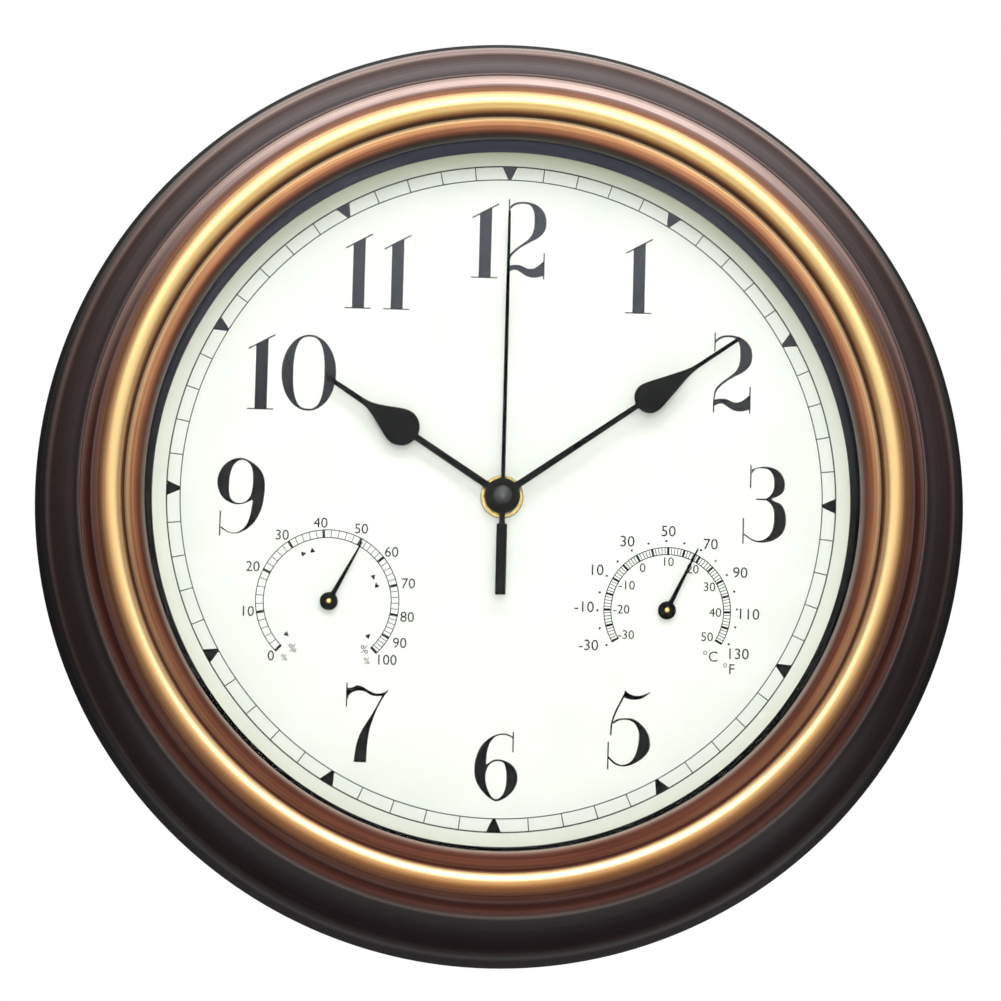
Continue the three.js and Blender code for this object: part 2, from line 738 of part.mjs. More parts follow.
// Outline of a hand with a drop-shaped bulb, along +Z from the axis to the tip
function spadeShape(length, width, bulbRadius, shares) {
  const bulb = length * shares.bulb;
  const foot = width / 2;
  const entry = Math.asin(foot / bulbRadius);
  const shoulder = radians(bulbShoulderDegrees);
  const rightEdge = [
    [foot * bladeWidthShares.blade, length * shares.shoulder],
    [foot * bladeWidthShares.tip, length],
  ];
  const shape = new THREE.Shape();
  shape.moveTo(foot, 0);
  shape.lineTo(foot, bulb - bulbRadius * Math.cos(entry));
  shape.absarc(0, bulb, bulbRadius, -Math.PI / 2 + entry, shoulder, false);
  shape.quadraticCurveTo(
    foot * bladeWidthShares.bend,
    length * shares.bend,
    foot * bladeWidthShares.blade,
    length * shares.taper,
  );
  for (const [x, z] of rightEdge) shape.lineTo(x, z);
  for (const [x, z] of rightEdge.reverse()) shape.lineTo(-x, z);
  shape.lineTo(-foot * bladeWidthShares.blade, length * shares.taper);
  shape.quadraticCurveTo(
    -foot * bladeWidthShares.bend,
    length * shares.bend,
    -bulbRadius * Math.cos(shoulder),
    bulb + bulbRadius * Math.sin(shoulder),
  );
  shape.absarc(0, bulb, bulbRadius, Math.PI - shoulder, (Math.PI * 3) / 2 - entry, false);
  shape.lineTo(-foot, 0);
  shape.closePath();
  return shape;
}

function buildHands() {
  const blade = (shape, bossRear, bossThickness, thickness) => {
    const rear = bossRear + (bossThickness - thickness) / 2;
    return plate(shape, rear, rear + thickness);
  };
  const hourHand = cut(
    join(
      rod(hourBossRadius, hourBossRear, hourBossRear + hourBossThickness, cupSides),
      blade(
        spadeShape(hourHandLength, hourBladeWidth, hourBulbRadius, hourHandShares),
        hourBossRear,
        hourBossThickness,
        hourBladeThickness,
      ),
    ),
    rod(hourPipeRadius + seatGap, hourBossRear - cutOverrun, hourPipeFront + cutOverrun, cupSides),
  );
  const minuteHand = cut(
    join(
      rod(minuteBossRadius, minuteBossRear, minuteBossRear + minuteBossThickness, cupSides),
      blade(
        spadeShape(wallFootRadius - minuteTipGap, minuteBladeWidth, minuteBulbRadius, minuteHandShares),
        minuteBossRear,
        minuteBossThickness,
        minuteBladeThickness,
      ),
    ),
    rod(minutePipeRadius + seatGap, minuteBossRear - cutOverrun, minutePipeFront + cutOverrun, cupSides),
  );
  const secondLength = wallFootRadius - secondTipGap;
  const secondShape = new THREE.Shape([
    [secondBladeWidth / 2, 0], [secondTipWidth / 2, secondLength], [-secondTipWidth / 2, secondLength],
    [-secondBladeWidth / 2, 0], [-tailNeckWidth / 2, 0], [-tailNeckWidth / 2, -tailNeckLength],
    [-tailWidth / 2, -tailNeckLength], [-tailWidth / 2, -tailLength], [tailWidth / 2, -tailLength],
    [tailWidth / 2, -tailNeckLength], [tailNeckWidth / 2, -tailNeckLength], [tailNeckWidth / 2, 0],
  ].map(([x, z]) => new THREE.Vector2(x, z)));
  const secondHand = cut(
    join(
      rod(secondCapRadius, secondCapRear, secondCapFront, cupSides),
      plate(secondShape, secondCapRear, secondCapRear + secondBladeThickness),
    ),
    rod(arborRadius + seatGap, secondCapRear - cutOverrun, secondCapFront - capRoof),
  );
  const hands = [
    [part('hour_hand', hourHand, blackPaint), hourAngle],
    [part('minute_hand', minuteHand, blackPaint), minuteAngle],
    [part('second_hand', secondHand, blackPaint), secondAngle],
  ];
  for (const [hand, angle] of hands) hand.rotation.y = radians(angle);
  return hands.map(([hand]) => hand);
}

// A flat strip wound in a spiral, drawn as one closed outline
function spiralShape(innerRadius, outerRadius, strip) {
  const steps = coilTurns * coilStepsPerTurn;
  const edge = (inset) => Array.from({ length: steps + 1 }, (_, i) => {
    const radius = innerRadius + inset + ((outerRadius - innerRadius - strip) * i) / steps;
    const angle = (i / coilStepsPerTurn) * 2 * Math.PI;
    return new THREE.Vector2(radius * Math.cos(angle), radius * Math.sin(angle));
  });
  return new THREE.Shape([...edge(strip), ...edge(0).reverse()]);
}

// Place of a small pivot beside the centre line: -1 is the humidity side, 1 the temperature side
const instrumentX = (side) => (side < 0 ? -hygrometerSpread : thermometerSpread);

// A cup behind the dial with a spiral in it, whose arbor carries a pointer in front
function buildInstrument(name, pointerLength, angle, side) {
  const cupFront = dialRear - seatGap;
  const cupRear = cupFront - cupDepth;
  const cupFloor = cupRear + cupWall;
  const coilRear = cupFloor + (cupFront - cupFloor - coilWidth) / 2;
  const bossRear = dialFront + pointerStandOff;
  const bossFront = bossRear + pointerBossThickness;
  const cup = turned([
    [0, cupRear], [cupRadius, cupRear], [cupRadius, cupFront], [cupRadius - cupWall, cupFront],
    [cupRadius - cupWall, cupFloor], [0, cupFloor],
  ], cupSides);
  const coil = plate(
    spiralShape(pinRadius + runGap, cupRadius - cupWall - seatGap, coilStrip),
    coilRear,
    coilRear + coilWidth,
  );
  const bladeRear = bossRear + (pointerBossThickness - pointerBladeThickness) / 2;
  const bladeShape = new THREE.Shape([
    [pointerFootWidth / 2, 0], [pointerTipWidth / 2, pointerLength],
    [-pointerTipWidth / 2, pointerLength], [-pointerFootWidth / 2, 0],
  ].map(([x, z]) => new THREE.Vector2(x, z)));
  const pointer = part(`${name}_pointer`, cut(
    join(
      rod(pointerBossRadius, bossRear, bossFront, cupSides),
      plate(bladeShape, bladeRear, bladeRear + pointerBladeThickness),
    ),
    rod(pinRadius + seatGap, bossRear - cutOverrun, bossFront + cutOverrun),
  ), blackPaint);
  pointer.rotation.y = radians(angle);
  return group([
    part(`${name}_cup`, cup, whitePlastic),
    part(`${name}_coil`, coil, bimetal),
    part(`${name}_arbor`, rod(pinRadius, cupFloor + runGap, bossFront + pinProud), brass),
    pointer,
  ], instrumentX(side), -instrumentDrop);
}

// Outer skin of the moulding, from the rear rim over the roll to the lip
function mouldingOutline() {
  const at = ([across, out]) => [openingRadius + across * mouldingWidth, out * frameDepth];
  const coveStart = at(sideOutlineShares[sideOutlineShares.length - 1]);
  const control = at(coveControlShare);
  const coveEnd = at(coveTopShare);
  const cove = Array.from({ length: coveSteps }, (_, i) => {
    const t = (i + 1) / coveSteps;
    const blend = (a, b, c) => (1 - t) ** 2 * a + 2 * t * (1 - t) * b + t ** 2 * c;
    return [blend(coveStart[0], control[0], coveEnd[0]), blend(coveStart[1], control[1], coveEnd[1])];
  });
  const roll = Array.from({ length: rollSteps + 1 }, (_, i) => {
    const angle = radians(rollEndDegrees + ((180 - rollEndDegrees) * i) / rollSteps);
    const across = rollCentreShare[0] + rollSizeShare[0] * Math.cos(angle);
    return at([across, rollCentreShare[1] + rollSizeShare[1] * Math.sin(angle)]);
  });
  return [
    ...sideOutlineShares.map(at), ...cove, ...stepOutlineShares.map(at), ...roll,
    ...bandOutlineShares.map(at),
  ];
}

// Places on a circle for the cover's screws, the first one at the top
const screwPlaces = Array.from({ length: coverScrewCount }, (_, i) => (
  away(centre, screwCircleRadius, 90 + (360 * i) / coverScrewCount + 180 / coverScrewCount)
));

function buildFrame() {
  const underside = undersideStationShares.map(([across, out, outward]) => [
    openingRadius + across * mouldingWidth - frameWall * Math.sin(radians(outward)),
    out * frameDepth - frameWall * Math.cos(radians(outward)),
  ]);
  const grooveDepth = rollCentreShare[1] * frameDepth;
  const profile = [
    ...mouldingOutline(),
    [openingRadius, shelfDepth], [barrelRadius, shelfDepth], [barrelRadius, barrelRear],
    [barrelOuterRadius, barrelRear], [barrelOuterRadius, grooveDepth - frameWall],
    ...underside,
    [rimInnerRadius - ledgeWidth, ledgeDepth], [rimInnerRadius, ledgeDepth], [rimInnerRadius, 0],
  ];
  const bossFront = grooveDepth - frameWall + seatGap;
  const bosses = screwPlaces.map(({ x, z }) => moved(rod(frameBossRadius, ledgeDepth, bossFront), x, z));
  const pilots = screwPlaces.map(({ x, z }) => {
    const pilotFront = coverRear + screwShankLength + seatGap;
    return moved(rod(screwHoleRadius, ledgeDepth - cutOverrun, pilotFront), x, z);
  });
  return cut(join(turned(profile, ringSides), ...bosses), ...pilots);
}

// Keyhole outline: a round hole with a slot that rises from it to a round end
function keyholePoints(margin) {
  const bottom = hangerCentreHeight - keyholeDrop;
  const top = hangerCentreHeight + keyholeRise;
  const radius = keyholeRadius + margin;
  const half = keyholeSlotWidth / 2 + margin;
  const meet = Math.asin(half / radius);
  const path = new THREE.Path();
  path.absarc(0, bottom, radius, Math.PI / 2 + meet, Math.PI / 2 - meet + 2 * Math.PI, false);
  path.absarc(0, top, half, 0, Math.PI, false);
  return path.getPoints(smallSides);
}

function buildCover() {
  const sealHoleHalf = seatGap + movementSealWidth + seatGap;
  const windowWidth = caseHalfWidth + sealHoleHalf;
  const windowHeight = caseHalfHeight + sealHoleHalf;
  const shape = new THREE.Shape(roundPoints(rimInnerRadius - seatGap, ringSides));
  const holes = [
    rectanglePoints(-windowWidth, windowWidth, -windowHeight, windowHeight),
    keyholePoints(keyholeMargin),
    ...screwPlaces.map(({ x, z }) => roundPoints(screwHoleRadius, smallSides, x, z)),
    ...rivetPlaces.map(({ x, z }) => roundPoints(rivetRadius + seatGap, smallSides, x, z)),
  ];
  const vents = [-1, 1].flatMap((side) => Array.from({ length: ventCount }, (_, i) => {
    const x = instrumentX(side);
    const z = -instrumentDrop + (i - (ventCount - 1) / 2) * ventPitch;
    return box(
      x - ventLength / 2,
      x + ventLength / 2,
      z - ventWidth / 2,
      z + ventWidth / 2,
      coverRear - cutOverrun,
      coverFront + cutOverrun,
    );
  }));
  shape.holes.push(...holes.map((points) => new THREE.Path(points)));
  const rib = ring(
    dialRibInnerRadius,
    dialRibInnerRadius + dialRibWall,
    coverFront - seatGap,
    dialRear - seatGap,
  );
  return cut(join(plate(shape, coverRear, coverFront), rib), ...vents);
}

const rivetPlaces = [-1, 1].map((side) => ({
  x: side * (hangerWidth / 2 - rivetInset),
  z: hangerCentreHeight,
}));

function buildHanger() {
  const front = coverRear - seatGap;
  const rear = front - hangerThickness;
  const half = hangerWidth / 2;
  const shape = new THREE.Shape(rectanglePoints(
    -half,
    half,
    hangerCentreHeight - hangerHeight / 2,
    hangerCentreHeight + hangerHeight / 2,
  ));
  shape.holes.push(new THREE.Path(keyholePoints(0)));
  for (const { x, z } of rivetPlaces) {
    shape.holes.push(new THREE.Path(roundPoints(rivetRadius + seatGap, smallSides, x, z)));
  }
  const headFront = rear - seatGap;
  const rivet = () => turned([
    [0, headFront - rivetHeadThickness], [rivetHeadRadius, headFront - rivetHeadThickness],
    [rivetHeadRadius, headFront], [rivetRadius, headFront],
    [rivetRadius, coverFront], [0, coverFront],
  ], smallSides);
  return [
    part('hanger_plate', plate(shape, rear, front), steel),
    ...rivetPlaces.map(({ x, z }, i) => group([part(`hanger_rivet_${i + 1}`, rivet(), steel)], x, z)),
  ];
}

function buildScrews() {
  const headFront = coverRear - seatGap;
  const headRear = headFront - screwHeadThickness;
  return screwPlaces.map(({ x, z }, i) => {
    const screw = turned([
      [0, headRear], [screwHeadRadius, headRear], [screwHeadRadius, headFront],
      [screwShankRadius, headFront], [screwShankRadius, coverRear + screwShankLength],
      [0, coverRear + screwShankLength],
    ], smallSides);
    return group([part(`cover_screw_${i + 1}`, screw, steel)], x, z);
  });
}

function buildHousing() {
  const spacerTop = openingRadius - spacerTopInset;
  const spacer = turned([
    [wallFootRadius, spacerRear], [fittedRadius, spacerRear], [fittedRadius, spacerFront],
    [spacerTop, spacerFront],
  ], ringSides);
  const dialShape = new THREE.Shape(roundPoints(fittedRadius, ringSides));
  dialShape.holes.push(new THREE.Path(roundPoints(bushHoleRadius, cupSides)));
  for (const side of [-1, 1]) {
    const hole = roundPoints(pinRadius + runGap, smallSides, instrumentX(side), -instrumentDrop);
    dialShape.holes.push(new THREE.Path(hole));
  }
  const lensSealRear = glassFront + seatGap;
  const sealWidth = caseHalfWidth + seatGap + movementSealWidth;
  const sealHeight = caseHalfHeight + seatGap + movementSealWidth;
  const movementSeal = new THREE.Shape(rectanglePoints(-sealWidth, sealWidth, -sealHeight, sealHeight));
  movementSeal.holes.push(new THREE.Path(rectanglePoints(
    -caseHalfWidth - seatGap,
    caseHalfWidth + seatGap,
    -caseHalfHeight - seatGap,
    caseHalfHeight + seatGap,
  )));
  const coverSealOuter = rimInnerRadius - seatGap;
  return [
    part('outer_frame', buildFrame(), bronze),
    part(
      'lens_seal',
      ring(fittedRadius - lensSealWidth, fittedRadius, lensSealRear, lensSealRear + lensSealThickness),
      rubber,
    ),
    part('lens', rod(fittedRadius, glassRear, glassFront, ringSides), glass),
    part('spacer_ring', spacer, blackPlastic),
    part('dial', plate(dialShape, dialRear, dialFront), dialPaper),
    part('back_cover', buildCover(), blackPlastic),
    part(
      'back_seal',
      ring(
        coverSealOuter - coverSealWidth,
        coverSealOuter,
        coverSealRear,
        coverSealRear + coverSealThickness,
      ),
      rubber,
    ),
    part('movement_seal', plate(movementSeal, coverRear, coverFront), rubber),
  ];
}

const clock = new THREE.Group();
clock.add(
  group([...buildHousing(), ...buildScrews(), ...buildHanger()]),
  group([...buildCase(), ...buildClamp(), ...buildTrain()]),
  group([...buildCircuit(), ...buildMotor(), ...buildCell()]),
  group(buildHands()),
  buildInstrument('hygrometer', hygrometerPointerLength, hygrometerAngle, -1),
  buildInstrument('thermometer', thermometerPointerLength, thermometerAngle, 1),
);

export default clock;
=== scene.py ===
"""Outdoor wall clock with a humidity dial and a temperature dial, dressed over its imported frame.

Lengths in the classes are millimetres. A depth is the distance in front of the wall, so a depth d
lies at y = -d. Seen from the front, x runs to the right and z up, and angles run clockwise from
twelve o'clock.
"""

import logging
import math
from collections.abc import Iterable, Mapping, Sequence
from dataclasses import dataclass, field
from enum import Enum

import bmesh
import bpy
from bpy.types import ID, Curve, Material, Mesh, Node, NodeTree, Object
from bpy.types import NodeSocket as Socket
from mathutils import Matrix, Vector


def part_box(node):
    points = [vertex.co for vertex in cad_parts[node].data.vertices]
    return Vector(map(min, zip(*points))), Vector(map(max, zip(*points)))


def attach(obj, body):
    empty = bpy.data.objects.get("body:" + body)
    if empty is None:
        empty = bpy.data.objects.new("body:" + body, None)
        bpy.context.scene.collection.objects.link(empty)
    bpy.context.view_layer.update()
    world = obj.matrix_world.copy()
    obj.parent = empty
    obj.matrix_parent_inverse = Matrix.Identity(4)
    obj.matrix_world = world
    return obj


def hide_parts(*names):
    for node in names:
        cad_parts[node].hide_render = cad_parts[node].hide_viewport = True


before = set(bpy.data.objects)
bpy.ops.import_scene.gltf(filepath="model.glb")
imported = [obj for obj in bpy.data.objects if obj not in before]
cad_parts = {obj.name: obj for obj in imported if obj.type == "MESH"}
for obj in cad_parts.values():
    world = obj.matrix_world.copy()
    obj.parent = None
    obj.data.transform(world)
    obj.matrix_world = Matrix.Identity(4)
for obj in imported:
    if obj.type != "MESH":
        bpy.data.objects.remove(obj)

LOG = logging.getLogger("clock")
MM = 0.001
PER_METRE = 1000.0
WHOLE_TURN = 360.0
FINE_SIDES = 240
# Points nearer than this, in metres, become one: in meshes made here and in copies of CAD nodes.
MERGE = 1e-7
CAD_MERGE = 1e-6
# For copies of CAD nodes: degrees within which faces are one flat, degrees above which an edge
# is sharp, and the area in square metres above which a face shades flat.
FLAT_WITHIN = 1.0
CAD_SHARP = 35.0
LARGE_FLAT = 6e-5
# How far each copy on a circle is turned, as a share of its angle, so that screws don't line up.
COPY_TURN = 1.7
# Height of a capital letter in Blender's own font, as a share of the font's size.
CAPITAL_SHARE = 0.72
# A round takes at most this share of each side that it joins.
NEAR_HALF = 0.48

Colour = tuple[int, int, int]
Four = tuple[float, float, float, float]
Point = tuple[float, float]


class Body(Enum):
    """The bodies that the pieces made here ride on."""

    CASE = "clock_case"
    SECOND = "second_drive"
    MINUTE = "minute_drive"
    HOUR = "hour_drive"
    KNOB = "knob_drive"
    HUMIDITY = "hygrometer_drive"
    TEMPERATURE = "thermometer_drive"
    CELL = "cell"


class Slot(Enum):
    """Names of the record's material slots."""

    FRAME = "frame_bronze"
    GLASS = "glass"
    BLACK = "black_plastic"
    DIAL = "dial"
    PAINT = "black_paint"
    RUBBER = "rubber"
    BRASS = "brass"
    STEEL = "steel"
    WHITE = "white_plastic"
    WRAP = "cell_wrap"


def linear(colour: Colour) -> Four:
    """Returns a colour written as 0 to 255 as linear RGBA."""
    shares = (value / 255 for value in colour)
    return (*(s / 12.92 if s <= 0.04045 else ((s + 0.055) / 1.055) ** 2.4 for s in shares), 1.0)


def on_circle(radius: float, degrees: float, centre: Point = (0.0, 0.0)) -> Point:
    """Returns the place at an angle clockwise from the top of a circle."""
    angle = math.radians(degrees)
    return centre[0] + radius * math.sin(angle), centre[1] + radius * math.cos(angle)


# Node trees


class Graph:
    """Adds nodes to one tree and links them."""

    def __init__(self, tree: NodeTree) -> None:
        """Keeps the tree that nodes are added to, and a material's shader."""
        self.tree = tree
        self.shader = tree.nodes.get("Principled BSDF")

    def add(self, kind: str, values: Mapping | None = None, **settings: object) -> Node:
        """Adds a node.

        Args:
            kind: The node's type.
            values: A number, colour or socket for each input, by its name or index.
            **settings: Properties of the node itself.

        Returns:
            The new node.
        """
        node = self.tree.nodes.new(kind)
        for name, value in settings.items():
            setattr(node, name, value)
        self.fill(node, values or {})
        return node

    def fill(self, node: Node, values: Mapping) -> None:
        """Sets or links inputs of a node.

        Args:
            node: The node.
            values: A number, colour or socket for each input, by its name or index.
        """
        for key, value in values.items():
            if isinstance(value, Socket):
                self.tree.links.new(value, node.inputs[key])
            else:
                node.inputs[key].default_value = value

    def math(self, operation: str, *values: object) -> Socket:
        """Adds a Math node and returns its result."""
        return self.add("ShaderNodeMath", dict(enumerate(values)), operation=operation).outputs[0]

    def product(self, *values: object) -> Socket:
        """Returns the product of two values."""
        return self.math("MULTIPLY", *values)

    def length(self, *sides: Socket) -> Socket:
        """Returns the length that two sides at a right angle span."""
        return self.math("SQRT", self.math("ADD", *(self.product(side, side) for side in sides)))

    def mix(self, share: object, first: object, second: object, blend: str = "MIX") -> Socket:
        """Mixes two colours by a share and returns the result."""
        values = {0: share, 6: first, 7: second}
        return self.add("ShaderNodeMix", values, data_type="RGBA", blend_type=blend).outputs[2]

    def between(self, value: object, low: float, high: float) -> Socket:
        """Turns a value of 0 to 1 into one from low to high."""
        return self.add("ShaderNodeMapRange", {0: value, 3: low, 4: high}).outputs[0]

    def window(self, value: object, start: float, end: float) -> Socket:
        """Returns 0 below start, 1 above end, and a smooth step between."""
        values = {0: value, 1: start, 2: end}
        return self.add("ShaderNodeMapRange", values, interpolation_type="SMOOTHSTEP").outputs[0]

    def ramp(self, share: Socket, stops: Sequence[tuple[float, Sequence[float]]]) -> Sequence[Socket]:
        """Runs a value through a colour ramp.

        Args:
            share: The value, 0 to 1.
            stops: Each stop's position and RGBA colour, in rising order.

        Returns:
            The ramp's colour and its alpha.
        """
        node = self.add("ShaderNodeValToRGB", {0: share})
        elements = node.color_ramp.elements
        elements[0].position, elements[0].color = stops[0]
        elements[1].position, elements[1].color = stops[-1]
        for position, colour in stops[1:-1]:
            elements.new(position).color = colour
        return node.outputs[0], node.outputs[1]

    def vector(self, values: Mapping[int, object]) -> Socket:
        """Returns the vector with a value for each axis given."""
        return self.add("ShaderNodeCombineXYZ", values).outputs[0]

    def axes(self, vector: Socket) -> Sequence[Socket]:
        """Returns a vector's x, y and z."""
        return self.add("ShaderNodeSeparateXYZ", {0: vector}).outputs

    def place(self) -> Socket:
        """Returns the Object coordinate, in metres."""
        return self.add("ShaderNodeTexCoord").outputs["Object"]

    def height(self) -> Socket:
        """Returns the height above the clock's axis, in millimetres."""
        return self.product(self.axes(self.place())[2], PER_METRE)

    def bump(self, height: Socket, distance: float) -> Socket:
        """Returns the normal of a surface whose relief is so many millimetres high."""
        values = {"Height": height, "Strength": 0.5, "Distance": distance * MM}
        return self.add("ShaderNodeBump", values).outputs[0]

    def moved(self, geometry: Socket, place: Socket) -> Socket:
        """Puts each point of a geometry at its new place."""
        values = {"Geometry": geometry, "Position": place}
        return self.add("GeometryNodeSetPosition", values).outputs[0]

    def end_with_copies(self, points: Socket, shape: Socket, turn: Socket,
                        material: Socket) -> None:
        """Ends a Geometry Nodes tree with real copies of one shape.

        Args:
            points: Where the copies stand.
            shape: The shape that is copied.
            turn: Each copy's angle about y.
            material: The copies' material.
        """
        rotation = self.add("FunctionNodeEulerToRotation", {0: self.vector({1: turn})})
        copies = self.add("GeometryNodeInstanceOnPoints", {
            "Points": points, "Instance": shape, "Rotation": rotation.outputs[0],
        })
        real = self.add("GeometryNodeRealizeInstances", {0: copies.outputs[0]})
        finished = self.add("GeometryNodeSetMaterial", {
            "Geometry": real.outputs[0], "Material": material,
        })
        self.add("NodeGroupOutput", {0: finished.outputs[0]})


SOCKETS = {
    float: "NodeSocketFloat", int: "NodeSocketInt", bool: "NodeSocketBool",
    Material: "NodeSocketMaterial", Object: "NodeSocketObject",
}


class SharedEffect:
    """A shader node group that several materials place with their own values."""

    name = "effect"
    inputs: tuple[str, ...] = ()
    outputs: tuple[str, ...] = ()

    def tree(self) -> NodeTree:
        """Returns the group, built the first time it is asked for."""
        known = bpy.data.node_groups.get(self.name)
        if known:
            return known
        tree = bpy.data.node_groups.new(self.name, "ShaderNodeTree")
        for side, names in (("INPUT", self.inputs), ("OUTPUT", self.outputs)):
            for name in names:
                tree.interface.new_socket(name=name, in_out=side, socket_type=SOCKETS[float])
        graph = Graph(tree)
        graph.add("NodeGroupOutput", self.wire(graph, graph.add("NodeGroupInput").outputs))
        return tree

    def wire(self, graph: Graph, given: Mapping) -> dict[str, Socket]:
        """Builds the inside of the group and returns a socket for each output."""
        raise NotImplementedError

    def place(self, graph: Graph, **values: float) -> Mapping:
        """Puts the group in a material.

        Args:
            graph: The material's nodes.
            **values: A number for each input, in lower case with underscores.

        Returns:
            The group's outputs by name.
        """
        node = graph.add("ShaderNodeGroup", node_tree=self.tree())
        for name, value in values.items():
            node.inputs[name.replace("_", " ").capitalize()].default_value = value
        return node.outputs


class SurfaceGrain(SharedEffect):
    """Fine grain for the height and a broad drift for the tone."""

    name = "surface_grain"
    inputs = ("Grain size", "Drift size")
    outputs = ("Grain", "Drift", "Specks")
    speck_size = 3.5
    speck_window = (0.68, 0.74)
    drift_window = (0.3, 0.7)

    def wire(self, graph: Graph, given: Mapping) -> dict[str, Socket]:
        """Builds three noises on Object coordinates."""
        coordinate = graph.place()

        def noise(size: Socket, factor: float, detail: float) -> Socket:
            """Returns a noise whose cells are factor times size, in millimetres."""
            scale = graph.math("DIVIDE", PER_METRE / factor, size)
            values = {"Vector": coordinate, "Scale": scale, "Detail": detail}
            return graph.add("ShaderNodeTexNoise", values).outputs[0]

        specks = noise(given["Grain size"], self.speck_size, 1.0)
        return {
            "Grain": noise(given["Grain size"], 1.0, 2.0),
            "Drift": graph.window(noise(given["Drift size"], 1.0, 3.0), *self.drift_window),
            "Specks": graph.window(specks, *self.speck_window),
        }


class TurningMarks(SharedEffect):
    """Marks that run round an axis along y, as a brush or a lathe leaves them."""

    name = "turning_marks"
    inputs = ("Centre x", "Centre z", "Pitch", "Streaks per turn")
    outputs = ("Marks", "Radius")
    depth_share = 0.4

    def wire(self, graph: Graph, given: Mapping) -> dict[str, Socket]:
        """Stretches a noise along the circles round the centre."""
        x, y, z = graph.axes(graph.place())
        across = graph.math("SUBTRACT", x, graph.math("DIVIDE", given["Centre x"], PER_METRE))
        up = graph.math("SUBTRACT", z, graph.math("DIVIDE", given["Centre z"], PER_METRE))
        radius = graph.length(across, up)
        safe = graph.math("MAXIMUM", radius, MERGE)
        turn = graph.math("DIVIDE", given["Streaks per turn"], safe)
        spread = graph.math("MULTIPLY_ADD", y, self.depth_share, radius)
        lines = graph.math("DIVIDE", spread, given["Pitch"])
        place = graph.vector({
            0: graph.product(across, turn), 1: graph.product(lines, PER_METRE),
            2: graph.product(up, turn),
        })
        noise = graph.add("ShaderNodeTexNoise", {"Vector": place, "Scale": 1.0, "Detail": 2.0})
        return {"Marks": noise.outputs[0], "Radius": graph.product(radius, PER_METRE)}


GRAIN = SurfaceGrain()
TURNING = TurningMarks()


# Finishes

MADE: dict["Finish", Material] = {}


@dataclass(frozen=True)
class Finish:
    """A moulded, painted or rubber surface: a tone that drifts, a fine grain and a shine.

    The two colours drift into each other. Roughness drifts between shares of its own value, and
    the bump is the height of the relief in millimetres.
    """

    name: str
    colour: Colour
    drift_colour: Colour
    roughness: float = 0.5
    metallic: float = 0.0
    specular: float = 0.5
    grain_size: float = 0.5
    drift_size: float = 14.0
    bump: float = 0.01
    speck_colour: Colour | None = None
    speck_share: float = 0.5
    roughness_span: Point = (0.9, 1.12)

    def material(self) -> Material:
        """Returns this finish's material, made the first time it is asked for."""
        if self not in MADE:
            made = bpy.data.materials.new(self.name)
            made.use_nodes = True
            MADE[self] = made
            self.wire(Graph(made.node_tree))
        return MADE[self]

    def wire(self, graph: Graph) -> None:
        """Links the finish's pattern to the shader.

        Args:
            graph: The material's nodes.
        """
        grain = self.grain(graph)
        low, high = (min(1.0, self.roughness * share) for share in self.roughness_span)
        graph.fill(graph.shader, {
            "Metallic": self.metallic, "Specular IOR Level": self.specular,
            "Base Color": self.tone(graph, grain),
            "Roughness": graph.between(grain["Drift"], low, high),
            "Normal": graph.bump(grain["Grain"], self.bump),
        })

    def grain(self, graph: Graph) -> Mapping:
        """Places the shared grain with this finish's sizes and returns its outputs."""
        return GRAIN.place(graph, grain_size=self.grain_size, drift_size=self.drift_size)

    def tone(self, graph: Graph, grain: Mapping) -> Socket:
        """Mixes the surface colour.

        Args:
            graph: The material's nodes.
            grain: The outputs of its grain.

        Returns:
            The colour.
        """
        tone = graph.mix(grain["Drift"], linear(self.colour), linear(self.drift_colour))
        if self.speck_colour:
            share = graph.product(grain["Specks"], self.speck_share)
            tone = graph.mix(share, tone, linear(self.speck_colour))
        return tone


@dataclass(frozen=True)
class TurnedFinish(Finish):
    """Metal with fine marks that run round an axis."""

    centre: Point = (0.0, 0.0)
    pitch: float = 0.12
    streaks: float = 3.0
    shine_span: Point = (0.75, 1.25)

    def wire(self, graph: Graph) -> None:
        """Links the marks to the shader's tone, shine and relief.

        Args:
            graph: The material's nodes.
        """
        Finish.wire(self, graph)
        marks = TURNING.place(
            graph, centre_x=self.centre[0], centre_z=self.centre[1], pitch=self.pitch,
            streaks_per_turn=self.streaks,
        )["Marks"]
        low, high = (self.roughness * share for share in self.shine_span)
        graph.fill(graph.shader, {
            "Base Color": graph.mix(marks, linear(self.drift_colour), linear(self.colour)),
            "Roughness": graph.between(marks, low, high),
            "Normal": graph.bump(marks, self.bump),
        })


